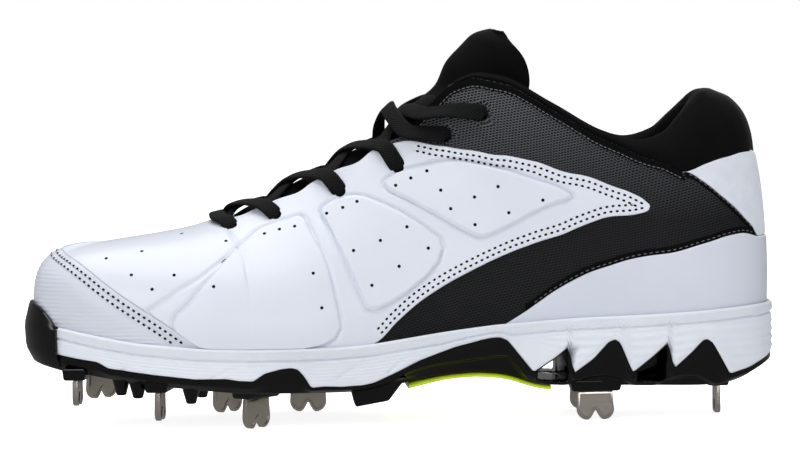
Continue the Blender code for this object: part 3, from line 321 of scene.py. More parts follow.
def eyestayDip(row):
    # How far the eyestay's edge stands back from the throat at a row.
    dip = np.zeros(np.shape(row))
    for middle in scallops["rows"]:
        near = np.clip(1 - np.abs(np.asarray(row) - middle) / scallops["halfWidth"], 0, 1)
        dip = dip + scallops["depth"] * np.sin(near * math.pi / 2) ** 2
    return dip


ribCache = {}
ribParameter = np.linspace(0, 1, 161)[:, None]


def ribLine(turn):
    # A rib's points from the feather line up, the share of its length at each, and its length.
    key = round(float(turn), 5)
    if key in ribCache:
        return ribCache[key]
    row = abs(turn)
    side = -1 if turn < 0 else 1
    if row > lastRow:
        row = 2 * lastRow - row
        side = -side
    top, axis, half, height, low, rise, reach, high, drop = [float(track(row)) for track in ribTracks]
    footXy = edgeOf(side * row)[0]
    outward = edgeOf(side * row, 1.0)[0] - footXy
    out = np.array([outward[0], outward[1], 0.0])
    foot = np.array([footXy[0], footXy[1], feather(footXy[0])])
    crest = np.array([along(top), across(axis + side * half), upperHeight(height)])
    tall = crest[2] - foot[2]
    lowHandle = foot + out * across(low) + np.array([0.0, 0.0, tall * rise])
    highHandle = crest + np.array([foot[0] - crest[0], foot[1] - crest[1], 0.0]) * reach
    highHandle += out * across(high) + np.array([0.0, 0.0, -tall * drop])
    if row < last["throatRow"]:
        highHandle[2] += ridgeSlope(row) * (highHandle[0] - crest[0])
    t = ribParameter
    points = foot * (1 - t) ** 3 + lowHandle * 3 * t * (1 - t) ** 2
    points += highHandle * 3 * t * t * (1 - t) + crest * t**3
    lengths = runAlong(points)
    ribCache[key] = (lengths / lengths[-1], points, lengths[-1])
    return ribCache[key]


def surface(turns, shares):
    turns = np.round(np.atleast_1d(np.asarray(turns, float)), 5)
    shares = np.broadcast_to(np.asarray(shares, float), turns.shape)
    out = np.zeros((len(turns), 3))
    order = np.argsort(turns, kind="stable")
    starts = np.flatnonzero(np.diff(turns[order], prepend=np.inf))
    for chunk in np.split(order, starts[1:]):
        known, points, _ = ribLine(turns[chunk[0]])
        for axis in range(3):
            out[chunk, axis] = np.interp(shares[chunk], known, points[:, axis])
    return out


def ribLength(turns):
    return np.array([ribLine(turn)[2] for turn in np.atleast_1d(turns)])


def skinNormal(turns, shares):
    turns = np.atleast_1d(np.asarray(turns, float))
    shares = np.broadcast_to(np.asarray(shares, float), turns.shape)
    level = np.clip(shares, 0.012, 0.988)
    forward = surface(turns + 0.03, level) - surface(turns - 0.03, level)
    upward = surface(turns, level + 0.012) - surface(turns, level - 0.012)
    normal = np.cross(upward, forward)
    ridge = (shares >= 0.9999) & (np.abs(turns) <= last["throatRow"])
    for i in np.flatnonzero(ridge):
        normal[i] = (-ridgeSlope(abs(turns[i])), 0.0, 1.0)
    return unit(normal)


def skin(turns, shares, offset=0.0):
    # Points of the upper's outer surface, moved outwards by offset.
    turns = np.atleast_1d(np.asarray(turns, float))
    shares = np.broadcast_to(np.asarray(shares, float), turns.shape)
    return surface(turns, shares) + skinNormal(turns, shares) * np.asarray(offset).reshape(-1, 1)


def seamBelowCollar(row):
    fade = np.clip((row - last["collarRow"]) / 0.5, 0.0, 1.0)
    return np.where(row < last["collarRow"], 1.0, 1.0 + (collarSeam(row) - 1.0) * fade)


# The CAD part stands centred on the origin: this is how far it was moved to get there.
wallGrow = 0.0028
ring = edgeOf(np.linspace(-lastRow, lastRow, 1201), wallGrow)
midsoleLow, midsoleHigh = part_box("midsole")
moved = np.array([
    (midsoleLow.x + midsoleHigh.x) / 2 - (ring[:, 0].min() + ring[:, 0].max()) / 2,
    (midsoleLow.y + midsoleHigh.y) / 2 - (ring[:, 1].min() + ring[:, 1].max()) / 2,
    0.0,
])
print("moved by", [round(float(value) * 1000, 2) for value in moved], "mm")

# Length along the upper, half way up, at each turn
turnTable = np.linspace(-lastRow, lastRow, 1201)
flatTable = runAlong(surface(turnTable, 0.45))


def flatLength(turn):
    return np.interp(turn, turnTable, flatTable)


def evenTurns(first, end, step):
    # Turns from first to end, about step apart on the surface.
    count = max(2, int(math.ceil((flatLength(end) - flatLength(first)) / step)))
    return np.interp(np.linspace(flatLength(first), flatLength(end), count + 1), flatTable, turnTable)


# Finishes
def linear(hexColour):
    channels = [int(hexColour[i:i + 2], 16) / 255 for i in (1, 3, 5)]
    return tuple(c / 12.92 if c <= 0.04045 else ((c + 0.055) / 1.055) ** 2.4 for c in channels) + (1.0,)


def addNode(tree, kind, inputs=None, **settings):
    node = tree.nodes.new(kind)
    for name, value in settings.items():
        setattr(node, name, value)
    for name, value in (inputs or {}).items():
        if isinstance(value, bpy.types.NodeSocket):
            tree.links.new(value, node.inputs[name])
        else:
            node.inputs[name].default_value = value
    return node


def newFinish(name, colour, **sockets):
    finish = bpy.data.materials.new(name)
    finish.use_nodes = True
    shader = finish.node_tree.nodes["Principled BSDF"]
    shader.inputs["Base Color"].default_value = linear(colour)
    for socket, value in sockets.items():
        shader.inputs[socket.replace("_", " ")].default_value = value
    finish.diffuse_color = linear(colour)
    return finish, finish.node_tree, shader


def twoTones(tree, shader, factor, first, second):
    mix = addNode(tree, "ShaderNodeMix", {0: factor, 6: linear(first), 7: linear(second)}, data_type="RGBA")
    tree.links.new(mix.outputs[2], shader.inputs["Base Color"])


def bumpOf(tree, shader, height, distance, strength):
    bump = addNode(tree, "ShaderNodeBump", {"Height": height, "Distance": distance, "Strength": strength})
    tree.links.new(bump.outputs["Normal"], shader.inputs["Normal"])


# Leather pebbles 0.9 mm apart, in metres
leatherGrain = 0.0009


def leatherFinish(name, light, shade, roughness, coat):
    # Split leather under a smooth polyurethane skin: a soft, even gloss over a very fine grain.
    finish, tree, shader = newFinish(name, light, Roughness=roughness, Coat_Weight=coat, Coat_Roughness=0.22,
                                     IOR=1.5)
    place = addNode(tree, "ShaderNodeTexCoord").outputs["Object"]
    cloud = addNode(tree, "ShaderNodeTexNoise", {"Vector": place, "Scale": 22.0, "Detail": 3.0})
    twoTones(tree, shader, cloud.outputs["Fac"], light, shade)
    pebble = addNode(tree, "ShaderNodeTexVoronoi", {"Vector": place, "Scale": 1 / leatherGrain},
                     feature="SMOOTH_F1")
    bumpOf(tree, shader, pebble.outputs["Distance"], 0.00006, 0.35)
    return finish


whiteLeather = leatherFinish("Coated synthetic leather, white", "#e2e6f0", "#d6dbe8", 0.40, 0.25)
capLeather = leatherFinish("Moulded toe leather, white", "#d9dde8", "#cfd4e1", 0.46, 0.15)
counterLeather = leatherFinish("Coated heel leather, white", "#dadeea", "#d0d5e3", 0.42, 0.2)


def heelFabricFinish():
    # Brushed microfibre, white: dull, with a slightly blotchy nap.
    finish, tree, shader = newFinish("Microfibre, white", "#eceef4", Roughness=0.75, Sheen_Weight=0.2)
    place = addNode(tree, "ShaderNodeTexCoord").outputs["Object"]
    cloud = addNode(tree, "ShaderNodeTexNoise", {"Vector": place, "Scale": 160.0, "Detail": 4.0})
    twoTones(tree, shader, cloud.outputs["Fac"], "#e8ebf4", "#cfd5e2")
    nap = addNode(tree, "ShaderNodeTexNoise", {"Vector": place, "Scale": 1400.0, "Detail": 2.0})
    bumpOf(tree, shader, nap.outputs["Fac"], 0.0001, 0.5)
    return finish


def netFinish():
    # Polyester spacer mesh: a staggered net of grey threads over black holes, with the threads painted paler
    # higher up as a painted highlight of the light from above.
    # The UV map is in millimetres: holes 1.5 by 1.05 mm apart, a little coarser than real ones, so that
    # they show.
    finish, tree, shader = newFinish("Spacer mesh, charcoal", "#2c2e31", Roughness=0.6,
                                     Specular_IOR_Level=0.25)
    flat = addNode(tree, "ShaderNodeUVMap", uv_map="flat").outputs["UV"]
    place = addNode(tree, "ShaderNodeTexCoord").outputs["Object"]
    lean = addNode(tree, "ShaderNodeMapping", {"Vector": flat, "Rotation": (0.0, 0.0, math.radians(8.0))})
    net = addNode(tree, "ShaderNodeTexBrick", {
        "Vector": lean.outputs["Vector"], "Scale": 1.0, "Brick Width": 1.5, "Row Height": 1.05,
        "Mortar Size": 0.24, "Mortar Smooth": 0.5, "Color1": (0, 0, 0, 1), "Color2": (0, 0, 0, 1),
        "Mortar": (1, 1, 1, 1),
    }, offset=0.5)
    # painted highlight: the threads are lighter grey the higher they stand
    height = addNode(tree, "ShaderNodeSeparateXYZ", {"Vector": place}).outputs["Z"]
    high = addNode(tree, "ShaderNodeMapRange", {"Value": height, "From Min": 0.080, "From Max": 0.132})
    thread = addNode(tree, "ShaderNodeMix", {
        0: high.outputs["Result"], 6: linear("#222326"), 7: linear("#63656b"),
    }, data_type="RGBA")
    weave = addNode(tree, "ShaderNodeMix", {
        0: net.outputs["Color"], 6: linear("#050506"), 7: thread.outputs[2],
    }, data_type="RGBA")
    tree.links.new(weave.outputs[2], shader.inputs["Base Color"])
    bumpOf(tree, shader, net.outputs["Color"], 0.0003, 0.9)
    return finish


def liningFinish():
    # Brushed tricot lining, black: dull with a faint sheen.
    finish, tree, shader = newFinish("Tricot lining, black", "#0c0c0d", Roughness=0.9,
                                     Specular_IOR_Level=0.15)
    place = addNode(tree, "ShaderNodeTexCoord").outputs["Object"]
    nap = addNode(tree, "ShaderNodeTexNoise", {"Vector": place, "Scale": 1300.0, "Detail": 2.0})
    bumpOf(tree, shader, nap.outputs["Fac"], 0.0001, 0.4)
    return finish


def knitFinish(name, light, shade, sheen):
    # Stretch knit over foam: nearly black, softly lit along its rounded edges by its nap.
    finish, tree, shader = newFinish(name, light, Roughness=0.7, Sheen_Weight=sheen, Sheen_Roughness=0.4,
                                     Specular_IOR_Level=0.05)
    place = addNode(tree, "ShaderNodeTexCoord").outputs["Object"]
    cloud = addNode(tree, "ShaderNodeTexNoise", {"Vector": place, "Scale": 60.0, "Detail": 3.0})
    twoTones(tree, shader, cloud.outputs["Fac"], light, shade)
    loop = addNode(tree, "ShaderNodeTexWave", {
        "Vector": place, "Scale": 330.0, "Distortion": 1.5, "Detail": 1.0,
    })
    bumpOf(tree, shader, loop.outputs["Fac"], 0.00008, 0.4)
    return finish


# The lace's ribs, in millimetres along it
laceRib = 1.3


def laceFinish():
    # Flat woven polyester lace, black: a herringbone with a rib every 1.3 mm, dull, with a painted highlight
    # on each rib's crest and painted shade in the grooves between.
    finish, tree, shader = newFinish("Woven lace, black", "#101012", Roughness=0.75, Sheen_Weight=0.02,
                                     Specular_IOR_Level=0.14)
    flat = addNode(tree, "ShaderNodeUVMap", uv_map="flat").outputs["UV"]
    parts = addNode(tree, "ShaderNodeSeparateXYZ", {"Vector": flat})
    side = addNode(tree, "ShaderNodeMath", {0: parts.outputs["Y"]}, operation="ABSOLUTE")
    lean = addNode(tree, "ShaderNodeMath", {0: parts.outputs["X"], 1: side.outputs[0]}, operation="ADD")
    turn = addNode(tree, "ShaderNodeMath", {0: lean.outputs[0], 1: 2 * math.pi / laceRib},
                   operation="MULTIPLY")
    rib = addNode(tree, "ShaderNodeMath", {0: turn.outputs[0]}, operation="SINE")
    rise = addNode(tree, "ShaderNodeMapRange", {"Value": rib.outputs[0], "From Min": -1.0, "From Max": 1.0})
    # painted shade and highlight: the colour follows each rib's height, darker in its grooves and lighter on
    # its crests
    twoTones(tree, shader, rise.outputs["Result"], "#040405", "#161618")
    bumpOf(tree, shader, rise.outputs["Result"], 0.00022, 0.8)
    return finish


def foamFinish():
    # Compression-moulded EVA foam, white: satin with a fine skin texture.
    finish, tree, shader = newFinish("Moulded EVA foam, white", "#eef0f5", Roughness=0.5, IOR=1.45)
    place = addNode(tree, "ShaderNodeTexCoord").outputs["Object"]
    cloud = addNode(tree, "ShaderNodeTexNoise", {"Vector": place, "Scale": 35.0, "Detail": 3.0})
    twoTones(tree, shader, cloud.outputs["Fac"], "#eaeef6", "#dde2ec")
    pore = addNode(tree, "ShaderNodeTexNoise", {"Vector": place, "Scale": 1500.0, "Detail": 2.0})
    bumpOf(tree, shader, pore.outputs["Fac"], 0.00005, 0.3)
    return finish


def plasticFinish(name, colour, roughness, coat):
    # Injection-moulded TPU, polished mould: deep gloss with faint flow marks.
    finish, tree, shader = newFinish(name, colour, Roughness=roughness, Coat_Weight=coat,
                                     Coat_Roughness=0.05, IOR=1.5, Specular_IOR_Level=0.4)
    place = addNode(tree, "ShaderNodeTexCoord").outputs["Object"]
    flow = addNode(tree, "ShaderNodeTexNoise", {"Vector": place, "Scale": 55.0, "Detail": 2.0})
    rough = addNode(tree, "ShaderNodeMapRange", {
        "Value": flow.outputs["Fac"], "To Min": roughness * 0.8, "To Max": roughness * 1.35,
    })
    tree.links.new(rough.outputs["Result"], shader.inputs["Roughness"])
    bumpOf(tree, shader, flow.outputs["Fac"], 0.00025, 0.35)
    return finish


def rubberFinish():
    # Moulded rubber, black: satin gloss, finely pebbled.
    finish, tree, shader = newFinish("Moulded rubber, black", "#070708", Roughness=0.25,
                                     Specular_IOR_Level=0.5)
    place = addNode(tree, "ShaderNodeTexCoord").outputs["Object"]
    grit = addNode(tree, "ShaderNodeTexNoise", {"Vector": place, "Scale": 700.0, "Detail": 2.0})
    bumpOf(tree, shader, grit.outputs["Fac"], 0.00006, 0.4)
    return finish


def steelFinish():
    # Stamped stainless steel blade: brushed along its length, bright with a warm cast.
    finish, tree, shader = newFinish("Brushed stainless steel", "#e6ddd2", Metallic=1.0, Roughness=0.22)
    place = addNode(tree, "ShaderNodeTexCoord").outputs["Object"]
    stretch = addNode(tree, "ShaderNodeMapping", {"Vector": place, "Scale": (300.0, 300.0, 2600.0)})
    brush = addNode(tree, "ShaderNodeTexNoise", {
        "Vector": stretch.outputs["Vector"], "Scale": 1.0, "Detail": 3.0,
    })
    rough = addNode(tree, "ShaderNodeMapRange", {
        "Value": brush.outputs["Fac"], "To Min": 0.12, "To Max": 0.30,
    })
    tree.links.new(rough.outputs["Result"], shader.inputs["Roughness"])
    bumpOf(tree, shader, brush.outputs["Fac"], 0.00002, 0.3)
    return finish


heelFabric = heelFabricFinish()
netFabric = netFinish()
lining = liningFinish()
collarKnit = knitFinish("Collar knit, black", "#08080a", "#0e0e10", 0.04)
tongueKnit = knitFinish("Tongue knit, black", "#08080a", "#0d0d0f", 0.04)
bindingTape = knitFinish("Binding tape, black", "#08080a", "#0c0c0d", 0.02)
laceWeave = laceFinish()
foamWhite = foamFinish()
plateGloss = plasticFinish("Moulded TPU, black", "#060607", 0.12, 0.1)
stripGloss = plasticFinish("Moulded TPU, yellow-green", "#dcf53a", 0.22, 0.4)
guardRubber = rubberFinish()
steel = steelFinish()
whiteThread = knitFinish("Bonded thread, white", "#f4f5f9", "#e2e4ea", 0.1)
greyThread = knitFinish("Bonded thread, grey", "#777980", "#63656b", 0.1)
# Dark beads set on the surface for holes that are not cut: painted shadow in the needle holes, and in the
# perforations the dark of the net below with painted shade in the hole
holeShade = knitFinish("Needle holes, shaded", "#1c1d20", "#101113", 0.0)
insoleCloth = knitFinish("Sock liner cloth, black", "#101113", "#161719", 0.02)
print("finishes:", len(bpy.data.materials))


# Making pieces
def makeGrid(columns, rows, place):
    # A sheet of columns by rows faces. place gives each corner's point from its two shares, and its flat
    # coordinates in millimetres, kept as the UV map "flat".
    bm = bmesh.new()
    bmesh.ops.create_grid(bm, x_segments=columns, y_segments=rows, size=0.5)
    corners = np.array([vert.co for vert in bm.verts])
    low = corners.min(0)
    span = corners.max(0) - low
    u = np.round((corners[:, 0] - low[0]) / span[0] * columns) / columns
    v = np.round((corners[:, 1] - low[1]) / span[1] * rows) / rows
    points, flat = place(u, v)
    points = points + moved
    flat = np.asarray(flat)
    for vert, point in zip(bm.verts, points):
        vert.co = point
    bm.verts.index_update()
    layer = bm.loops.layers.uv.new("flat")
    for face in bm.faces:
        for loop in face.loops:
            loop[layer].uv = flat[loop.vert.index]
    return bm, u, v


def turnOutwards(bm, outwards):
    # Reverses the sheet if its first big face looks against the direction that outwards gives there.
    face = max(bm.faces, key=lambda found: found.calc_area())
    if face.normal.dot(Vector(outwards(face.calc_center_median()))) < 0:
        bmesh.ops.reverse_faces(bm, faces=bm.faces)


def finishPiece(name, bm, materials, stands=(), sharp=40.0):
    mesh = bpy.data.meshes.new(name)
    bm.to_mesh(mesh)
    bm.free()
    for found in materials:
        mesh.materials.append(found)
    mesh.shade_smooth()
    if sharp:
        mesh.set_sharp_from_angle(angle=math.radians(sharp))
    piece = bpy.data.objects.new(name, mesh)
    bpy.context.scene.collection.objects.link(piece)
    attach(piece, "root")
    if stands:
        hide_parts(*stands)
    return piece


def recalc(bm):
    bmesh.ops.recalc_face_normals(bm, faces=bm.faces)


def mergeDoubles(bm, gap=0.00002):
    bmesh.ops.remove_doubles(bm, verts=bm.verts, dist=gap)


def fillEnds(bm):
    # Closes the open ends of a tube and turns its faces outwards.
    ends = [found for found in bm.edges if found.is_boundary]
    bmesh.ops.holes_fill(bm, edges=ends, sides=0)
    recalc(bm)


def roundEdges(bm, edges, offset, segments=3):
    return bmesh.ops.bevel(bm, geom=list(edges), offset=offset, offset_type="OFFSET", segments=segments,
                           affect="EDGES", profile=0.5, material=-1)


def pullOutline(bm, outline, y, depth):
    # An outline seen from the side, pulled across by depth.
    verts = [bm.verts.new((x, y, z)) for x, z in outline]
    face = bm.faces.new(verts)
    pulled = bmesh.ops.extrude_face_region(bm, geom=[face])["geom"]
    back = [found for found in pulled if isinstance(found, bmesh.types.BMVert)]
    bmesh.ops.translate(bm, verts=back, vec=(0.0, depth, 0.0))
    return verts + back


def always(value):
    # The same height or share at every place.
    return lambda places, *more: np.full(len(places), value)


def roundOff(part, least=0.0):
    # A quarter circle: least at 0, and 1 from 1 on.
    return np.sqrt(np.clip(1 - (1 - np.clip(part, 0, 1)) ** 2, least, 1))


def gridColumns(values, share):
    # Reads a list of values at a share of its length that falls on one of them.
    return values[np.round(share * (len(values) - 1)).astype(int)]


def insidePolygon(polygon, turns, shares):
    polygon = np.array(polygon)
    inside = np.zeros(len(turns), bool)
    for (x0, y0), (x1, y1) in zip(polygon, np.roll(polygon, -1, axis=0)):
        crosses = (y0 > shares) != (y1 > shares)
        with np.errstate(divide="ignore", invalid="ignore"):
            at = (x1 - x0) * (shares - y0) / (y1 - y0) + x0
        inside ^= crosses & (turns < at)
    return inside


def polyline(rows, closed=False, step=0.0004):
    # Turns and shares along a line on the upper, about step apart on the surface.
    rows = list(rows) + ([rows[0]] if closed else [])
    turns = []
    shares = []
    for (t0, s0), (t1, s1) in zip(rows, rows[1:]):
        ends = surface([t0, t1], [s0, s1])
        count = max(1, int(np.linalg.norm(ends[1] - ends[0]) / step))
        part = np.arange(count) / count
        turns.append(t0 + (t1 - t0) * part)
        shares.append(s0 + (s1 - s0) * part)
    turns.append([rows[-1][0]])
    shares.append([rows[-1][1]])
    return np.concatenate(turns), np.concatenate(shares)


def distanceTo(lines, points):
    # Each point's distance from the nearest of some lines, which are pairs of turns and shares.
    line = np.vstack([surface(turns, shares) for turns, shares in lines])
    tree = KDTree(len(line))
    for i, point in enumerate(line):
        tree.insert(point, i)
    tree.balance()
    return np.array([tree.find(point)[2] for point in points])


def smoothStep(value):
    value = np.clip(value, 0.0, 1.0)
    return value * value * (3 - 2 * value)


def roundCorners(rows, times=2):
    # Cuts the corners of a closed line of turns and shares.
    for _ in range(times):
        cut = []
        for (t0, s0), (t1, s1) in zip(rows, rows[1:] + rows[:1]):
            cut.append((t0 * 0.75 + t1 * 0.25, s0 * 0.75 + s1 * 0.25))
            cut.append((t0 * 0.25 + t1 * 0.75, s0 * 0.25 + s1 * 0.75))
        rows = cut
    return rows


# Moulded panels of the white overlay, as turns and shares, on the inner side
panels = [
    [
        (7.87, 0.832), (8.53, 0.844), (9.66, 0.575), (10.53, 0.547), (9.58, 0.401), (8.97, 0.377),
        (8.80, 0.419), (8.35, 0.624),
    ],
    [
        (7.09, 0.823), (7.60, 0.845), (7.93, 0.707), (8.15, 0.608), (8.60, 0.372), (7.35, 0.144),
        (7.21, 0.278), (7.11, 0.562), (7.11, 0.671),
    ],
    [
        (5.52, 0.578), (6.01, 0.705), (6.30, 0.790), (6.84, 0.821), (6.93, 0.80), (6.88, 0.658),
        (6.92, 0.536), (6.90, 0.295), (6.94, 0.0), (5.4, 0.0), (4.55, 0.0), (4.20, 0.142),
        (4.61, 0.273), (4.97, 0.405),
    ],
]
frontLine = [(5.30, 0.520), (4.84, 0.414), (4.37, 0.327), (3.90, 0.213), (4.05, 0.10)]
perforations = [
    (5.44, 0.645), (6.31, 0.716), (6.53, 0.731), (6.73, 0.732), (7.18, 0.761), (7.40, 0.764),
    (7.60, 0.769), (8.14, 0.774), (8.36, 0.780), (8.59, 0.773), (7.29, 0.516), (7.67, 0.531),
    (8.06, 0.557), (8.24, 0.426), (8.65, 0.660), (9.03, 0.555), (9.39, 0.553), (8.68, 0.562),
    (9.39, 0.443), (8.91, 0.448), (9.89, 0.480), (7.81, 0.377), (7.40, 0.315), (6.67, 0.424),
    (6.67, 0.229), (2.99, 0.554), (3.70, 0.634), (3.57, 0.434), (4.36, 0.434), (3.97, 0.345),
    (5.03, 0.346), (4.6, 0.82),
]


def eyeletShare(turn, inset):
    return 1 - across(inset) / ribLength(turn)[0]


eyelets = [
    [(side * row, float(eyeletShare(side * row, inset))) for row, inset in eyeletRows] for side in (-1, 1)
]


def punch(bm, centres, radius):
    # Cuts round holes: faces inside go, and the corners left on each edge are set on the circle.
    for centre in centres:
        centre = Vector(centre + moved)
        inside = [vert for vert in bm.verts if (vert.co - centre).length < radius]
        if not inside:
            continue
        ringFaces = {face for vert in inside for face in vert.link_faces}
        around = {vert for face in ringFaces for vert in face.verts} - set(inside)
        bmesh.ops.delete(bm, geom=inside, context="VERTS")
        for vert in around:
            if vert.is_valid and vert.is_boundary:
                step = vert.co - centre
                vert.co = centre + step.normalized() * (radius + (step.length - radius) * 0.15)


# The hollow upper: net outside and lining inside, down into the midsole's cup
shellSizes = {"step": 0.0016, "levels": 56, "eyelet": 0.0023}


def makeUpper():
    turns = evenTurns(-lastRow, lastRow, shellSizes["step"])
    rows = shellSizes["levels"]

    def place(u, v):
        turn = gridColumns(turns, u)
        level = np.clip((v * rows - 1) / (rows - 1), 0, 1)
        row = np.abs(turn)
        share = level * (seamBelowCollar(row) - eyestayDip(row) / ribLength(turn))
        points = skin(turn, share)
        points[v == 0, 2] -= last["cupDepth"] - 0.0003
        flat = np.stack([flatLength(turn) * 1000, share * ribLength(turn) * 1000], 1)
        return points, flat

    bm, _, _ = makeGrid(len(turns) - 1, rows, place)
    mergeDoubles(bm, 0.00005)
    turnOutwards(bm, lambda point: (0.0, point.y, 0.0))
    punch(bm, [skin(*spot)[0] for side in eyelets for spot in side], shellSizes["eyelet"])
    piece = finishPiece("upperShell", bm, [netFabric, lining], ["upper"])
    wall = piece.modifiers.new("wall", "SOLIDIFY")
    wall.thickness = last["wall"]
    wall.offset = -1.0
    wall.material_offset = 1
    wall.material_offset_rim = 0
    return piece


layerSizes = {"edge": 0.0007, "collarGap": 0.002, "sunk": 0.0002}


def layer(name, turns, rows, lower, upper, height, finish, slotName, stands=(), holes=()):
    # A layer on the upper between two borders. height gives its top above the skin, and it falls at its
    # borders.
    def place(u, v):
        turn = gridColumns(turns, u)
        row = np.abs(turn)
        row = np.where(row > lastRow, 2 * lastRow - row, row)
        length = ribLength(turn)
        low = lower(row)
        edgeOfThroat = seamBelowCollar(row) - eyestayDip(row) / length
        edgeOfThroat = edgeOfThroat - layerSizes["collarGap"] * (row > last["collarRow"])
        high = np.minimum(upper(row), edgeOfThroat)
        # the levels crowd together at both borders
        level = v * 0.8 + (0.5 - 0.5 * np.cos(v * math.pi)) * 0.2
        share = low + (high - low) * level
        fromLow = (share - low) * length
        fromHigh = np.where(row <= last["throatRow"], 1.0, (high - share) * length)
        near = np.minimum(fromLow, fromHigh)
        top = height(turn, share)
        points = skin(turn, share, top * (0.45 + 0.55 * roundOff(near / layerSizes["edge"])))
        place.turn = turn
        place.share = share
        flat = np.stack([flatLength(turn) * 1000, share * length * 1000], 1)
        return points, flat

    bm, _, _ = makeGrid(len(turns) - 1, rows, place)
    turnLayer = bm.verts.layers.float.new("turn")
    shareLayer = bm.verts.layers.float.new("share")
    for vert, turn, share in zip(bm.verts, place.turn, place.share):
        vert[turnLayer] = turn
        vert[shareLayer] = share
    mergeDoubles(bm, 0.00003)
    turnOutwards(bm, lambda point: (point.x * 0.2, point.y, 0.0))
    if len(holes):
        punch(bm, holes, shellSizes["eyelet"])
    rim = [found for found in bm.edges if found.is_boundary]
    sides = bmesh.ops.extrude_edge_only(bm, edges=rim)
    verts = [found for found in sides["geom"] if isinstance(found, bmesh.types.BMVert)]
    spots = np.array([(vert[turnLayer], vert[shareLayer]) for vert in verts])
    normals = skinNormal(spots[:, 0], spots[:, 1])
    base = skin(spots[:, 0], spots[:, 1]) + moved
    for vert, normal, under in zip(verts, normals, base):
        down = Vector(vert.co - Vector(under)).dot(Vector(normal))
        vert.co -= Vector(normal) * (down + layerSizes["sunk"])
    return finishPiece(name, bm, [finish], stands)


# The white overlay: forefoot, eyestay and pointed tail in one moulded piece
wingSizes = {
    "step": 0.0007,
    "levels": 116,
    "thickness": 0.0010,
    "panelRise": 0.0011,
    "panelEdge": 0.0010,
    "groove": 0.0008,
    "grooveWidth": 0.00075,
}


def wingBottom(row):
    return np.where(row <= toeSeamRows[-1][0], toeSeam(row) + 0.0007, wingLower(row))


def wingTop(row):
    return np.where(row <= wingUpperRows[0][0], 1.0, wingUpper(row))


def wingHeight(turn, share):
    row = np.abs(turn)
    points = surface(turn, share)
    height = np.full(len(turn), wingSizes["thickness"])
    for side in (-1, 1):
        lines = [roundCorners([(side * t, s) for t, s in panel]) for panel in panels]
        for line in lines:
            mine = np.sign(turn) == side
            inside = insidePolygon(line, turn, share) & mine
            away = np.full(len(turn), 1.0)
            rows = np.abs(np.array(line)[:, 0])
            near = mine & (row > rows.min() - 0.3) & (row < rows.max() + 0.3)
            away[near] = distanceTo([polyline(line, True)], points[near])
            rise = smoothStep(away / wingSizes["panelEdge"]) * wingSizes["panelRise"]
            height += np.where(inside, rise, 0.0)
            height -= wingSizes["groove"] * np.exp(-(away / wingSizes["grooveWidth"]) ** 2)
        near = (np.sign(turn) == side) & (row > frontLine[-1][0] - 0.5) & (row < frontLine[0][0] + 0.5)
        away = np.full(len(turn), 1.0)
        away[near] = distanceTo([polyline([(side * t, s) for t, s in frontLine])], points[near])
        height -= wingSizes["groove"] * np.exp(-(away / wingSizes["grooveWidth"]) ** 2)
    return height


def makeWing():
    tip = wingUpperRows[-1][0]
    turns = evenTurns(-tip, tip, wingSizes["step"])
    # the four lower pairs of eyelets pass through the overlay
    holes = [skin(turn, share, wingSizes["thickness"])[0] for side in eyelets for turn, share in side[:4]]
    return layer("whiteOverlay", turns, wingSizes["levels"], wingBottom, wingTop, wingHeight, whiteLeather,
                 "overlay_white", ["vamp_overlay"], holes)


# The toe cap, with fine raised lines round it
capSizes = {
    "step": 0.0012, "levels": 120, "thickness": 0.0007, "linePitch": 0.00155, "lineRise": 0.00032,
    "plain": 0.008,
}


def capHeight(turn, share):
    high = surface(turn, share)[:, 2]
    below = (toeSeam(np.abs(turn)) - share) * ribLength(turn)
    fade = smoothStep(below / capSizes["plain"] - 0.6)
    wave = 0.5 + 0.5 * np.cos(high / capSizes["linePitch"] * 2 * math.pi)
    return capSizes["thickness"] + capSizes["lineRise"] * wave**2 * fade


def makeCap():
    end = toeSeamRows[-1][0]
    turns = evenTurns(-end, end, capSizes["step"])
    return layer("toeCapPanel", turns, capSizes["levels"], always(0.0), toeSeam, capHeight, capLeather,
                 "toe_cap_white", ["toe_cap"])


# Heel counter below the net, and the soft white panel above it
counterSizes = {"step": 0.0014, "levels": 40, "thickness": 0.0009, "panelThickness": 0.0006}


def backTurns(first, step):
    # Turns from the outer side round the back to the inner side.
    one = evenTurns(first, lastRow, step)
    return np.concatenate([one, (2 * lastRow - one[:-1])[::-1]])


def makeCounter():
    turns = backTurns(counterUpperRows[0][0], counterSizes["step"])
    return layer("heelCounterPanel", turns, counterSizes["levels"], always(0.0), counterUpper,
                 always(counterSizes["thickness"]), counterLeather, "counter_white", ["heel_counter"])


def makeHeelPanel():
    turns = backTurns(heelPanelRows[0][0], counterSizes["step"])
    return layer("heelPanel", turns, counterSizes["levels"], heelPanelLower, collarSeam,
                 always(counterSizes["panelThickness"]), heelFabric, "counter_white")


# Black tape bound over the net's edge, from the top of the overlay round the throat to the heel panel
bindingSizes = {
    "first": 8.62, "end": 11.84, "wide": 0.0042, "thickness": 0.0006, "step": 0.0014, "levels": 12,
}


def bindingLower(row):
    return seamBelowCollar(row) - bindingSizes["wide"] / ribLength(row)


def makeBinding():
    for side, name in ((-1, "innerBinding"), (1, "outerBinding")):
        turns = evenTurns(bindingSizes["first"], bindingSizes["end"], bindingSizes["step"])
        layer(name, np.sort(side * turns), bindingSizes["levels"], bindingLower, always(1.0),
              always(bindingSizes["thickness"]), bindingTape, "collar_fabric")


# The net's hem over the heel counter and round its pointed rear corner
hemSizes = {
    "first": 9.3, "end": 13.0, "wide": 0.0024, "gap": 0.0003, "thickness": 0.00055, "step": 0.0012,
    "levels": 8,
}


def aboveCounter(distance):
    return lambda row: counterUpper(row) + distance / ribLength(row)


def belowPanel(distance):
    return lambda row: heelPanelLower(row) - distance / ribLength(row)


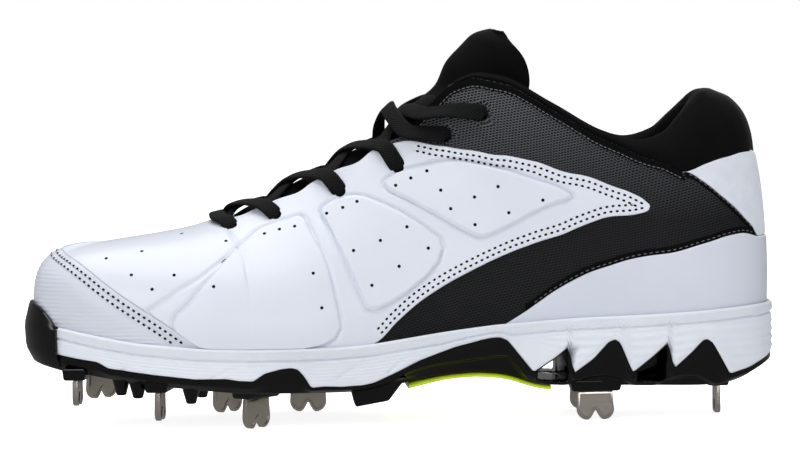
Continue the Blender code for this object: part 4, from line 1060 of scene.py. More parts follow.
def makeHem():
    near = hemSizes["gap"]
    far = hemSizes["wide"] + hemSizes["gap"]
    height = always(hemSizes["thickness"])
    for side, name in ((-1, "inner"), (1, "outer")):
        turns = np.sort(side * evenTurns(hemSizes["first"], hemSizes["end"], hemSizes["step"]))
        layer(name + "Hem", turns, hemSizes["levels"], aboveCounter(near), aboveCounter(far), height,
              bindingTape, "upper_leather")
        corner = heelPanelRows[0][0] + 0.02
        turns = np.sort(side * evenTurns(corner, hemSizes["end"], hemSizes["step"]))
        layer(name + "CornerHem", turns, hemSizes["levels"], belowPanel(far), belowPanel(near), height,
              bindingTape, "upper_leather")


makeUpper()
makeWing()
makeCap()
makeCounter()
makeHeelPanel()
makeBinding()
makeHem()
print("upper done")

# Padded collar
collarSizes = {"step": 0.0016, "around": 44, "wall": 0.0045}
collarPad = smoothTrack([9.2, 10.0, 11.4, 12.7, 15.0], [0.6, 1.0, 1.3, 2.6, 2.8])


def openSpline(knots, count):
    # Smooth points through knots of shape (knot, 3).
    knots = np.asarray(knots, float)
    chord = runAlong(knots)
    tangent = np.zeros_like(knots)
    tangent[1:-1] = (knots[2:] - knots[:-2]) / (chord[2:] - chord[:-2])[:, None]
    tangent[0] = (knots[1] - knots[0]) / chord[1] * 1.5 - tangent[1] * 0.5
    tangent[-1] = (knots[-1] - knots[-2]) / (chord[-1] - chord[-2]) * 1.5 - tangent[-2] * 0.5
    where = np.linspace(0, chord[-1], count + 1)
    i = np.clip(np.searchsorted(chord, where, side="right") - 1, 0, len(knots) - 2)
    h = (chord[i + 1] - chord[i])[:, None]
    t = (where - chord[i])[:, None] / h
    return cubic(t, h, knots[i], knots[i + 1], tangent[i], tangent[i + 1])


def collarSection(turn):
    row = turn if turn <= lastRow else 2 * lastRow - turn
    row = abs(row)
    low = min(float(seamBelowCollar(row)), 0.985) + 0.004
    pad = collarSizes["wall"] * float(collarPad(row))
    inward = np.append(edgeOf(turn)[0] - edgeOf(turn, 1.0)[0], 0.0)
    levels = np.array([0.0, 0.25, 0.5, 0.75, 0.93])
    outer = skin(np.full(5, turn), low + (1 - low) * levels)
    crest = surface([turn], [1.0])[0]
    foot = outer[0]
    tall = max(crest[2] - foot[2], 0.002)
    bulge = 0.0006 + 0.0012 * min(tall / 0.03, 1.0)
    normal = skinNormal([turn], [low + (1 - low) * 0.5])[0]
    for i, share in enumerate(levels):
        outer[i] += normal * bulge * math.sin(math.pi * min(share * 1.05 + 0.02, 1.0))
    crown = crest + inward * pad * 0.16 + np.array([0.0, 0.0, 0.0006])
    lip = crest + inward * pad * 0.62 + np.array([0.0, 0.0, -0.16 * tall])
    root = foot + inward * pad
    middle = lip * 0.5 + root * 0.5 + inward * pad * 0.20
    under = root - inward * pad * 0.5 + np.array([0.0, 0.0, -0.002])
    return list(outer) + [crown, lip, middle, root, under]


def makeCollar():
    first = last["collarRow"] + 0.1
    turns = backTurns(first, collarSizes["step"])
    sections = np.array([openSpline(collarSection(turn), collarSizes["around"]) for turn in turns])

    def place(u, v):
        i = np.round(u * (len(turns) - 1)).astype(int)
        j = np.round(v * collarSizes["around"]).astype(int)
        flat = np.stack([u * 330, v * 40], 1)
        return sections[i, j], flat

    bm, _, _ = makeGrid(len(turns) - 1, collarSizes["around"], place)
    fillEnds(bm)
    piece = finishPiece("collarPadding", bm, [collarKnit], ["collar"], sharp=60.0)
    return piece


makeCollar()
print("collar done")

# Padded tongue
tongueSizes = {
    "thickness": 0.0045, "gap": 0.0012, "cover": 0.014, "crown": 0.10, "lip": 0.0016, "lastRow": 8.9,
    "columns": 40, "rows": 110, "topShare": 0.004 / 0.175, "tuckRows": 14,
}
# How its front end is tucked under the vamp
tongueTucks = [(-0.019, 0.0, -0.0112), (-0.009, 0.0, -0.0062)]
# How its top curls round the ankle, from edge to edge: side, share of the half width, sweep back and fall
tongueCurl = [
    (-1, 1.0, 1.0, 0.38), (-1, 0.75, 0.36, 0.12), (0, 0, 0, 0), (1, 0.75, 0.36, 0.12), (1, 1.0, 1.0, 0.38),
]


def throatFrame(row):
    left, right, aheadL, aheadR, behindL, behindR = surface(
        [-row, row, -row - 0.1, row + 0.1, -row + 0.1, row - 0.1], 1.0)
    forward = aheadL + aheadR - behindL - behindR
    forward[1] = 0.0
    normal = np.cross(forward / np.linalg.norm(forward), np.array([0.0, 1.0, 0.0]))
    if normal[2] < 0:
        normal = -normal
    return (left + right) / 2, normal, right[1] - left[1]


def tongueKnots(row):
    middle, normal, gap = throatFrame(row)
    under = last["wall"] + tongueSizes["gap"] + 0.0020 * min(max((6.7 - row) / 0.9, 0.0), 1.0)
    knots = []
    for side in (-1, 1):
        length = ribLength(side * row)[0]
        low = skin(side * row, 1 - tongueSizes["cover"] / length, -under)[0]
        high = skin(side * row, 1.0, -under)[0] - np.array([0.0, side * tongueSizes["lip"], 0.0])
        knots.append((low, high))
    sink = under * min(max(2 - gap / 0.010, 0.0), 1.0)
    crown = middle + normal * (gap * tongueSizes["crown"] - sink)
    return [knots[0][0], knots[0][1], crown, knots[1][1], knots[1][0]]


def tongueTopKnots(place, height, half, sweep):
    middle = np.array([along(place), across(-2.0), upperHeight(height)])
    knots = []
    for side, share, lag, fall in tongueCurl:
        shift = np.array([across(sweep) * lag, across(half) * share * side, -across(sweep) * fall])
        knots.append(middle + shift)
    return knots


def tongueLines():
    # The tongue's top surface as sections from its front end to its top.
    rows = [6.4, 6.75, 7.1, 7.5, 7.9, 8.3, 8.6, tongueSizes["lastRow"]]
    sections = [tongueKnots(row) for row in rows]
    sections = [[knot + np.array(tuck) for knot in sections[0]] for tuck in tongueTucks] + sections
    sections += [tongueTopKnots(*row) for row in tongueTopRows]
    return np.array([openSpline(knots, tongueSizes["columns"]) for knots in sections])


tongueSheet = np.stack([
    openSpline(line, tongueSizes["rows"]) for line in tongueLines().transpose(1, 0, 2)
], 1)


def makeTongue():
    forward = np.gradient(tongueSheet, axis=0)
    sideways = np.gradient(tongueSheet, axis=1)
    normals = np.cross(forward, sideways)
    normals /= np.linalg.norm(normals, axis=2, keepdims=True)
    if normals[60, 20, 2] < 0:
        normals = -normals
    columns = tongueSizes["columns"]
    rows = tongueSizes["rows"]
    around = 2 * columns + 8

    def place(u, v):
        i = np.round(v * rows).astype(int)
        # round the section: over the top, round the edge and back underneath
        turn = u * 2 * math.pi
        crossing = np.clip(0.5 - 0.5 * np.cos(turn), 0, 1)
        column = crossing * columns
        low = np.floor(column).astype(int).clip(0, columns - 1)
        part = (column - low)[:, None]
        base = tongueSheet[i, low] * (1 - part) + tongueSheet[i, low + 1] * part
        normal = normals[i, low] * (1 - part) + normals[i, low + 1] * part
        edge = np.abs(2 * crossing - 1)
        thick = tongueSizes["thickness"] * (1 - 0.45 * edge**4)
        # it thins in a curve over the last rows at the top, and over the first ones under the vamp
        thick = thick * roundOff((rows - i) / rows / tongueSizes["topShare"], 0.01)
        thick = thick * (0.5 + 0.5 * np.clip(i / tongueSizes["tuckRows"], 0, 1))
        fromBelow = turn > math.pi
        swell = np.sqrt(np.clip(1 - np.clip((edge - 0.9) / 0.1, 0, 1) ** 2, 0, 1))
        depth = np.where(fromBelow, 0.5 + 0.5 * swell, 0.5 - 0.5 * swell) * thick
        flat = np.stack([crossing * 60, i * 1.6], 1)
        return base - normal * depth[:, None], flat

    bm, _, _ = makeGrid(around, rows, place)
    mergeDoubles(bm)
    fillEnds(bm)
    piece = finishPiece("tonguePadding", bm, [tongueKnit], ["tongue"], sharp=60.0)
    return piece


makeTongue()
print("tongue done")

# Laces
laceSizes = {
    "width": 0.0068, "thickness": 0.0016, "around": 14, "along": 48, "topRow": 8.7, "lean": 0.55,
    "leanFrom": 8.3, "gather": 0.006,
}
# The one bar that stands up a little, clear of the tongue
slackBar = {"low": 3, "side": 1, "shift": np.array([-0.003, 0.0, 0.003])}


def tongueRise(middle, normal):
    line = tongueSheet[:, tongueSizes["columns"] // 2]
    step = line - middle
    rise = step @ normal
    near = np.linalg.norm(step - rise[:, None] * normal, axis=1) < laceSizes["width"]
    return float(rise[near].max())


def lacePath(low, side, high, overBoth, lift, slack):
    # Knots of one run: from under the eyestay at the lower eyelet, over the tongue and into the higher
    # eyelet. Its lowest bar lies over both eyestays.
    lowTurn, lowShare = eyelets[0 if side < 0 else 1][low]
    highTurn, highShare = eyelets[1 if side < 0 else 0][high]
    row = min((abs(lowTurn) + abs(highTurn)) / 2, laceSizes["topRow"])
    middle, normal, gap = throatFrame(row)
    thick = laceSizes["thickness"]
    over = wingSizes["thickness"] + wingSizes["panelRise"] * 0.2 + thick * 0.55

    def knotsAt(turn, share, outside):
        length = ribLength(turn)[0]
        toEdge = 1 - share
        if outside:
            lean = laceSizes["lean"] * max(abs(turn) - laceSizes["leanFrom"], 0.0)
            lean = math.copysign(lean, turn)
            return [
                skin(turn, share - 0.0006 / length, -0.0034)[0],
                skin(turn, share + 0.0004 / length, over * 0.35)[0],
                skin(turn - lean * 0.45, share + toEdge * 0.35, over + 0.0003)[0],
                skin(turn - lean, 1 - 0.0015 / length, over + 0.0006)[0],
            ]
        return [
            skin(turn, share, -0.0030)[0],
            skin(turn, share + toEdge * 0.55, -0.0031)[0],
            skin(turn, 1.0, -0.0024)[0] + normal * 0.0004,
        ]

    first = knotsAt(lowTurn, lowShare, overBoth)
    second = knotsAt(highTurn, highShare, True)
    crown = middle + normal * (tongueRise(middle, normal) + thick * 0.6 + lift) + slack
    quarterLow = (first[-1] + crown) / 2 + normal * (gap * 0.02 + lift * 0.25) + slack * 0.3
    quarterHigh = (second[-1] + crown) / 2 + normal * (gap * 0.03 + lift * 0.25) + slack * 0.3
    return first + [quarterLow, crown, quarterHigh] + second[::-1], (lowTurn, highTurn), normal


def addLace(bm, layerUv, knots, turns, normal):
    count = laceSizes["along"]
    path = openSpline(knots, count)
    ahead = unit(np.gradient(path, axis=0))
    share = np.linspace(0, 1, count + 1)
    ends = [skinNormal(turn, 0.93)[0] for turn in turns]
    fromMiddle = (np.abs(2 * share - 1) ** 1.5)[:, None]
    up = np.where(share[:, None] < 0.5, ends[0], ends[1]) * fromMiddle + normal * (1 - fromMiddle)
    wide = unit(np.cross(ahead, up))
    thick = np.cross(wide, ahead)
    run = runAlong(path)
    # the lace gathers into a narrower, thicker roll where it enters a hole
    gather = np.minimum(run, run[-1] - run)
    roll = smoothStep(gather / laceSizes["gather"])
    around = laceSizes["around"]
    found = bmesh.ops.create_grid(bm, x_segments=count, y_segments=around, size=0.5)["verts"]
    corners = np.array([vert.co for vert in found])
    low = corners.min(0)
    span = corners.max(0) - low
    i = np.round((corners[:, 0] - low[0]) / span[0] * count).astype(int)
    j = np.round((corners[:, 1] - low[1]) / span[1] * around).astype(int)
    angle = j / around * 2 * math.pi
    halfWide = laceSizes["width"] / 2 * (0.66 + 0.34 * roll[i])
    halfThick = laceSizes["thickness"] / 2 * (1.5 - 0.5 * roll[i])
    x = np.sign(np.cos(angle)) * np.abs(np.cos(angle)) ** 0.55 * halfWide
    y = np.sign(np.sin(angle)) * np.abs(np.sin(angle)) ** 0.75 * halfThick
    points = path[i] + wide[i] * x[:, None] + thick[i] * y[:, None] + moved
    for vert, point in zip(found, points):
        vert.co = point
    flat = {vert: (run[a] * 1000, b * 1000) for vert, a, b in zip(found, i, x)}
    for face in {face for vert in found for face in vert.link_faces}:
        for loop in face.loops:
            loop[layerUv].uv = flat[loop.vert]


def makeLaces():
    bm = bmesh.new()
    layerUv = bm.loops.layers.uv.new("flat")
    flatBar = np.zeros(3)
    addLace(bm, layerUv, *lacePath(0, -1, 0, True, laceSizes["thickness"] * 0.8, flatBar))
    for low in range(len(eyeletRows) - 1):
        for side in (-1, 1):
            lift = laceSizes["thickness"] * (1.05 if side > 0 else 0.0)
            stands = low == slackBar["low"] and side == slackBar["side"]
            slack = slackBar["shift"] if stands else flatBar
            addLace(bm, layerUv, *lacePath(low, side, low + 1, False, lift, slack))
    mergeDoubles(bm)
    fillEnds(bm)
    return finishPiece("wovenLaces", bm, [laceWeave], ["laces"], sharp=60.0)


makeLaces()
print("laces done")

# Sole
def softLine(rows, blur, step=0.0002):
    # A table of places and heights as a fine line with its corners slightly rounded.
    places = np.array([along(row[0]) for row in rows])
    x = np.arange(places[0] - 0.01, places[-1] + 0.01, step)
    y = np.interp(x, places, [soleHeight(row[1]) for row in rows])
    reach = int(blur / step)
    kernel = np.hanning(2 * reach + 1)
    padded = np.concatenate([np.full(reach, y[0]), y, np.full(reach, y[-1])])
    z = np.convolve(padded, kernel / kernel.sum(), mode="valid")
    return lambda place: np.interp(place, x, z)


foamHeight = softLine(foamBottomRows, 0.0012)
plateHeight = softLine(plateBottomRows, 0.008)
featherHeight = softLine(featherRows, 0.008)

# Length along the outline at each turn
outlineTable = runAlong(edgeOf(turnTable))


def ringTurns(step):
    count = int(outlineTable[-1] / step)
    return np.interp(np.linspace(0, outlineTable[-1], count + 1), outlineTable, turnTable)


soleAxis = smoothTrack([along(row[0]) for row in outlineRows],
                       [float(across((row[2] - row[1]) / 2)) for row in outlineRows])


def towardsAxis(xy, share):
    # Moves points of an outline towards the sole's middle line.
    y = soleAxis(xy[:, 0])
    return np.stack([xy[:, 0], xy[:, 1] + (y - xy[:, 1]) * share], 1)


foamSizes = {
    "step": 0.0010, "rows": 44, "capRows": 3, "rim": 0.0046, "groove": 0.0012, "grooveWidth": 0.0005,
    "belowGroove": 0.0004, "hatch": 0.00026, "hatchPitch": 0.0017, "ribPitch": 0.0013, "ribRise": 0.0002,
    "heelFrom": 66.0, "wave": 0.0007, "waveLength": 0.042, "topRound": 0.0008, "lowRound": 0.0005,
    "tuck": 0.0045, "crease": 0.0009, "creaseWidth": 0.0007,
}
# Where the foam curls in beside each open wave: the ridge's top and foot, and where the curl starts
tuckRows = [((73.6, 70.0), (72.3, 43.0), 71.3), ((85.9, 71.0), (85.3, 46.0), 84.6)]
# Creases across the foam's wall at the forefoot, as places and heights
creaseRows = [
    ((12.3, 54.0), (13.7, 63.0)), ((24.1, 48.0), (26.8, 56.0)), ((40.6, 44.7), (43.9, 57.8)),
    ((47.3, 47.1), (50.0, 62.2)),
]


def foamTuck(x, z):
    # How far the foam's wall turns in at a place.
    tuck = np.zeros(len(x))
    for (topPlace, top), (footPlace, foot), begin in tuckRows:
        part = (z - soleHeight(foot)) / (soleHeight(top) - soleHeight(foot))
        ridge = along(footPlace) + (along(topPlace) - along(footPlace)) * np.clip(part, 0, 1) ** 1.6
        inside = smoothStep((ridge - x) / 0.0028) * smoothStep((x - along(begin)) / 0.0010) * (part < 1)
        tuck = np.maximum(tuck, inside * smoothStep((1 - part) / 0.25) * foamSizes["tuck"])
    for start, end in creaseRows:
        first = np.array([along(start[0]), soleHeight(start[1])])
        step = np.array([along(end[0]), soleHeight(end[1])]) - first
        part = np.clip(((x - first[0]) * step[0] + (z - first[1]) * step[1]) / step.dot(step), 0, 1)
        away = np.hypot(x - first[0] - step[0] * part, z - first[1] - step[1] * part)
        crease = (1 - 0.7 * part) * np.exp(-(away / foamSizes["creaseWidth"]) ** 2)
        tuck = np.maximum(tuck, foamSizes["crease"] * crease)
    return tuck


def makeFoam():
    turns = ringTurns(foamSizes["step"])
    wallRows = foamSizes["rows"]
    capRows = foamSizes["capRows"]
    rows = wallRows + 2 * capRows + 2

    def place(u, v):
        turn = gridColumns(turns, u)
        index = np.round(v * rows).astype(int)
        level = np.clip((index - capRows - 1) / wallRows, 0, 1)
        x = edgeOf(turn)[:, 0]
        top = featherHeight(x) + 0.0006
        bottom = foamHeight(x)
        tall = top - bottom
        z = bottom + tall * level
        rim = top - np.minimum(foamSizes["rim"], 0.62 * tall)
        grow = wallGrow - foamSizes["groove"] * np.exp(-((z - rim) / foamSizes["grooveWidth"]) ** 2)
        # below the groove the wall has fine ribs, which are wavy and coarser round the heel
        below = smoothStep((rim - z - 0.0008) / 0.0012)
        grow -= foamSizes["belowGroove"] * below
        heel = smoothStep((x - along(foamSizes["heelFrom"])) / 0.02)
        wave = foamSizes["wave"] * np.sin(x / foamSizes["waveLength"] * 2 * math.pi) * heel
        pitch = foamSizes["ribPitch"] * (1 + 1.6 * heel)
        ribs = 0.5 + 0.5 * np.cos((z - rim + wave) / pitch * 2 * math.pi)
        zone = smoothStep((z - bottom - 0.0012) / 0.001)
        grow += foamSizes["ribRise"] * (1 + 1.8 * heel) * ribs * below * zone
        edgeTop = smoothStep((top - z) / 0.0009)
        grow -= foamSizes["topRound"] * (1 - edgeTop)
        grow -= foamSizes["lowRound"] * (1 - smoothStep((z - bottom) / 0.0010))
        grow -= foamTuck(x, z)
        # above it runs a finely hatched band
        run = np.interp(turn, turnTable, outlineTable)
        hatch = np.cos((run * 0.8 + z * 1.2) / foamSizes["hatchPitch"] * 2 * math.pi)
        xy = edgeOf(turn, grow + foamSizes["hatch"] * hatch * edgeTop * (z > rim))
        lowCap = index <= capRows
        highCap = index > capRows + 1 + wallRows
        share = np.zeros(len(u))
        share[lowCap] = 1 - index[lowCap] / (capRows + 1)
        xy[lowCap] = towardsAxis(xy[lowCap], share[lowCap])
        z = np.where(lowCap, bottom, z)
        inner = index - (capRows + 1 + wallRows)
        xyIn = edgeOf(turn, np.where(inner <= 1, 0.0002, -0.0012))
        shareIn = np.clip((inner - 2) / max(capRows - 1, 1), 0, 1)
        xyIn = towardsAxis(xyIn, shareIn)
        xy[highCap] = xyIn[highCap]
        z = np.where(highCap, featherHeight(x) - np.where(inner <= 1, 0.0002, last["cupDepth"]), z)
        flat = np.stack([run * 1000, z * 1000], 1)
        return np.column_stack([xy, z]), flat

    bm, _, _ = makeGrid(len(turns) - 1, rows, place)
    mergeDoubles(bm)
    recalc(bm)
    return finishPiece("foamMidsole", bm, [foamWhite], ["midsole"], sharp=50.0)


plateSizes = {
    "step": 0.0009, "rows": 38, "capRows": 12, "grow": 0.0021, "taper": 0.0030, "lowRound": 0.0012,
    "recess": 0.013, "hollow": 0.0022, "hollowHeight": 0.0046, "archCrease": 0.0020, "dish": 0.0009,
}


def insideWave(row, x, z, above):
    # How far a place is inside an open wave of the heel, from its nearest side.
    near = np.minimum(x - along(row[0]), along(row[1]) - x)
    return np.minimum(near, np.minimum(foamHeight(x) - above - z, z - plateHeight(x) - 0.0016))


def recessDent(x, z):
    # How far the plate's side is scooped in at a place, under the heel's waves.
    dent = smoothStep(insideWave(recessRow, x, z, 0.0010) / 0.0016) * plateSizes["recess"]
    for start, middle, end in hollowRows:
        half = np.where(x < along(middle), along(middle) - along(start), along(end) - along(middle))
        arch = 1 - ((x - along(middle)) / half) ** 2
        below = plateHeight(x) + plateSizes["hollowHeight"] * arch - z
        dent = np.maximum(dent, smoothStep(below / 0.0012) * plateSizes["hollow"] * (arch > 0))
    return dent


# A crease along the arch: the plate's side turns in below it
archRows = [(48.0, 30.0), (49.1, 45.3), (59.3, 58.7), (63.2, 61.3), (66.5, 40.0)]
archCrease = smoothTrack([along(row[0]) for row in archRows], [soleHeight(row[1]) for row in archRows])


def archDent(x, z):
    inside = smoothStep((x - along(48.5)) / 0.006) * smoothStep((along(archRows[-1][0]) - x) / 0.004)
    return plateSizes["archCrease"] * smoothStep((archCrease(x) - z) / 0.0016) * inside


def tunnelShare(x, z):
    # 1 inside the first wave, which is open right through the heel, and 0 outside it.
    return smoothStep(insideWave(tunnelRow, x, z, 0.0006) / 0.0012)


def makePlate():
    turns = ringTurns(plateSizes["step"])
    wallRows = plateSizes["rows"]
    capRows = plateSizes["capRows"]
    rows = wallRows + 2 * capRows

    def place(u, v):
        turn = gridColumns(turns, u)
        index = np.round(v * rows).astype(int)
        level = np.clip((index - capRows) / wallRows, 0, 1)
        x = edgeOf(turn)[:, 0]
        bottom = plateHeight(x)
        top = np.maximum(foamHeight(x) - 0.0003, bottom + 0.001)
        z = bottom + (top - bottom) * level
        grow = plateSizes["grow"] - plateSizes["taper"] * (1 - smoothStep(level * 1.6))
        grow = grow - 0.0010 * (1 - roundOff((z - bottom) / plateSizes["lowRound"]))
        grow = grow - recessDent(x, z) - archDent(x, z)
        through = tunnelShare(x, z)
        place.through = through
        xy = towardsAxis(edgeOf(turn, grow), through)
        lowCap = index < capRows
        highCap = index > capRows + wallRows
        shareLow = 1 - index / capRows
        xy[lowCap] = towardsAxis(xy[lowCap], shareLow[lowCap])
        shareHigh = (index - capRows - wallRows) / capRows
        xy[highCap] = towardsAxis(xy[highCap], shareHigh[highCap])
        # the underside is slightly dished inside a raised border
        z = z + np.where(lowCap, smoothStep(shareLow / 0.35 - 0.25), 0.0) * plateSizes["dish"]
        run = np.interp(turn, turnTable, outlineTable)
        return np.column_stack([xy, z]), np.stack([run * 1000, z * 1000], 1)

    bm, _, _ = makeGrid(len(turns) - 1, rows, place)
    # where both walls meet at the middle the heel is open
    inside = [face for face in bm.faces if all(place.through[vert.index] > 0.999 for vert in face.verts)]
    bmesh.ops.delete(bm, geom=inside, context="FACES")
    mergeDoubles(bm)
    recalc(bm)
    return finishPiece("outsolePlate", bm, [plateGloss], ["outsole_plate"], sharp=50.0)


bladeSizes = {
    "width": 0.0150, "thickness": 0.0022, "notch": 0.0038, "notchTop": 0.88, "lobe": 0.45, "lobeReach": 0.38,
    "top": 0.93, "rim": 0.0009, "rimFall": 0.00025, "bevel": 0.00025,
}
lugSizes = {
    "padLong": 0.02144, "padWide": 0.00948, "padHeight": 0.0024, "padTaper": 0.9, "padBevel": 0.0009,
    "padRoot": 0.0024, "cone": 0.0038, "coneHeight": 0.0060, "coneBevel": 0.0007, "root": 0.0012,
    "blockRise": 0.0022, "blockRoot": 0.0028, "blockBevel": 0.0008,
}
shift = Matrix.Translation(Vector(moved))


def addPad(bm, matrix, size):
    # A block that narrows downwards.
    found = bmesh.ops.create_cube(bm, size=1.0)["verts"]
    for vert in found:
        narrow = lugSizes["padTaper"] if vert.co.z < 0 else 1.0
        vert.co = Vector((vert.co.x * size[0] * narrow, vert.co.y * size[1] * narrow, vert.co.z * size[2]))
    result = roundEdges(bm, {edge for vert in found for edge in vert.link_edges}, lugSizes["padBevel"])
    verts = {vert for face in result["faces"] for vert in face.verts}
    verts |= {vert for vert in found if vert.is_valid}
    bmesh.ops.transform(bm, matrix=matrix, verts=list(verts))


def makeLugs():
    bm = bmesh.new()
    for _, place, side, turn, _ in spikeRows:
        x = float(along(place))
        bottom = float(plateHeight(x)) - lugSizes["padHeight"]
        size = (lugSizes["padLong"], lugSizes["padWide"], lugSizes["padHeight"] + lugSizes["padRoot"])
        matrix = Matrix.Translation((x, float(across(side)), bottom + size[2] / 2))
        addPad(bm, shift @ matrix @ Matrix.Rotation(math.radians(turn), 4, "Z"), size)
    for place, side in coneRows:
        x = float(along(place))
        top = float(plateHeight(x)) + lugSizes["root"]
        tall = lugSizes["coneHeight"] + lugSizes["root"]
        matrix = shift @ Matrix.Translation((x, float(across(side)), top - tall / 2))
        found = bmesh.ops.create_cone(bm, cap_ends=True, segments=24, radius1=lugSizes["cone"] * 0.5,
                                      radius2=lugSizes["cone"], depth=tall, matrix=matrix)["verts"]
        low = min(vert.co.z for vert in found)
        edges = {edge for vert in found for edge in vert.link_edges}
        roundEdges(bm, [edge for edge in edges if all(abs(end.co.z - low) < 1e-6 for end in edge.verts)],
                   lugSizes["coneBevel"])
    for start, end, inner, outer, tip in blockRows:
        long = float(along(end) - along(start))
        outline = []
        for share, level in ((0.0, None), (0.10, 0.0), (0.68, lugSizes["blockRise"]), (1.0, None)):
            x = float(along(start)) + long * share
            root = float(plateHeight(x)) + lugSizes["blockRoot"]
            outline.append((x + moved[0], root if level is None else float(soleHeight(tip)) + level))
        depth = float(across(outer) - across(inner))
        verts = pullOutline(bm, outline, float(across(inner)) + moved[1], depth)
        roundEdges(bm, {edge for vert in verts for edge in vert.link_edges}, lugSizes["blockBevel"])
    recalc(bm)
    return finishPiece("plateLugs", bm, [plateGloss], sharp=35.0)


def bladeOutline(half, tall):
    # Half of a blade's outline: from the notch's middle round one lobe and up to its top.
    lobe = bladeSizes["lobe"] * half
    reach = bladeSizes["lobeReach"] * tall
    line = []
    for step in np.linspace(0, 1, 9):
        rise = min(1 - math.sin(step * math.pi / 2), bladeSizes["notchTop"]) / bladeSizes["notchTop"]
        line.append((lobe * step, bladeSizes["notch"] * rise))
    for angle in np.linspace(0, math.pi / 2, 10)[1:]:
        line.append((lobe + (half - lobe) * math.sin(angle), reach * (1 - math.cos(angle))))
    return line + [(half * bladeSizes["top"], tall)]


def makeSpike(name, place, side, turn, tip):
    x = float(along(place))
    # the blade reaches into its pad
    top = max(float(plateHeight(x)) - lugSizes["padHeight"] - 0.0003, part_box(name)[1].z - 0.0001)
    bottom = float(soleHeight(tip))
    right = bladeOutline(bladeSizes["width"] / 2, top - bottom)
    outline = [(u, z + bottom) for u, z in [(-u, z) for u, z in right[:0:-1]] + right]
    bm = bmesh.new()
    pullOutline(bm, outline, -bladeSizes["thickness"] / 2, bladeSizes["thickness"])
    bm.normal_update()
    rims = [found for found in bm.edges if abs(found.verts[0].co.y - found.verts[1].co.y) < 1e-6]
    roundEdges(bm, rims, bladeSizes["bevel"], segments=2)
    recalc(bm)
    # both flat sides are pressed in a little inside a rim
    flats = [found for found in bm.faces if len(found.verts) > 20]
    for width, fall in ((bladeSizes["rim"], 0.0), (0.0002, -bladeSizes["rimFall"])):
        bmesh.ops.inset_individual(bm, faces=flats, thickness=width, depth=fall, use_even_offset=True)
    matrix = shift @ Matrix.Translation((x, float(across(side)), 0.0))
    bmesh.ops.transform(bm, matrix=matrix @ Matrix.Rotation(math.radians(turn), 4, "Z"), verts=bm.verts)
    recalc(bm)
    return finishPiece("blade_" + name, bm, [steel], [name], sharp=35.0)


# The coloured strip under the arch
stripSizes = {
    "count": 120, "around": 16, "forward": 0.004, "insideInner": 0.0012, "insideOuter": 0.0035,
    "half": 0.0010, "frontHalf": 0.0013,
}


def makeStrip():
    count = stripSizes["count"]
    around = stripSizes["around"]
    low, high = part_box("shank_strip")
    stripX = np.linspace(low.x - stripSizes["forward"], high.x, count + 1) - moved[0]
    plateEdge = plateSizes["grow"] - plateSizes["taper"]
    lineIn = edgeOf(np.linspace(-12.5, -4, 600), plateEdge - stripSizes["insideInner"])
    lineOut = edgeOf(np.linspace(4, 12.5, 600), plateEdge - stripSizes["insideOuter"])
    inner = np.interp(stripX, lineIn[::-1, 0], lineIn[::-1, 1])
    outer = np.interp(stripX, lineOut[:, 0], lineOut[:, 1])

    def place(u, v):
        i = np.round(u * count).astype(int)
        angle = v * 2 * math.pi
        side = 0.5 - 0.5 * np.sign(np.cos(angle)) * np.abs(np.cos(angle)) ** 0.2
        up = np.sign(np.sin(angle)) * np.abs(np.sin(angle)) ** 0.4
        x = stripX[i]
        y = inner[i] + (outer[i] - inner[i]) * side
        thicker = stripSizes["frontHalf"] - stripSizes["half"]
        half = stripSizes["half"] + thicker * (1 - smoothStep(u / 0.3))
        z = plateHeight(x) - 0.0002 - half + up * half
        return np.column_stack([x, y, z]), np.stack([u * 60, v * 60], 1)

    bm, _, _ = makeGrid(count, around, place)
    mergeDoubles(bm)
    fillEnds(bm)
    return finishPiece("archStrip", bm, [stripGloss], ["shank_strip"], sharp=60.0)


insoleSizes = {"step": 0.0025, "rows": 26, "rimRows": 6, "gap": 0.0010, "rim": 0.0035, "dish": 0.0012}


def makeInsole():
    turns = ringTurns(insoleSizes["step"])
    rows = insoleSizes["rows"]
    rimRows = insoleSizes["rimRows"]

    def place(u, v):
        turn = gridColumns(turns, u)
        index = np.round(v * rows).astype(int)
        share = np.clip((index - rimRows) / (rows - rimRows), 0, 1)
        base = edgeOf(turn, -last["wall"] - insoleSizes["gap"])
        xy = towardsAxis(base, share)
        floor = featherHeight(base[:, 0]) - last["cupDepth"] + 0.0004
        lift = insoleSizes["rim"] * np.sin(np.clip(index / rimRows, 0, 1) * math.pi / 2)
        z = floor + lift - insoleSizes["dish"] * smoothStep(share * 2.5) * (index > rimRows)
        return np.column_stack([xy, z]), np.stack([u * 700, v * 50], 1)

    bm, _, _ = makeGrid(len(turns) - 1, rows, place)
    mergeDoubles(bm)
    turnOutwards(bm, lambda point: (0, 0, 1))
    return finishPiece("insoleCloth", bm, [insoleCloth], ["insole"], sharp=0)


# The rubber guard wrapped over the toe
guardSizes = {
    "thickness": 0.0019, "reach": 0.0106, "top": 0.0508, "fall": 0.0115, "under": 0.0034, "columns": 60,
}


def shareAtHeight(turn, z):
    shares, points, _ = ribLine(turn)
    return float(np.interp(z, points[:, 2], shares))


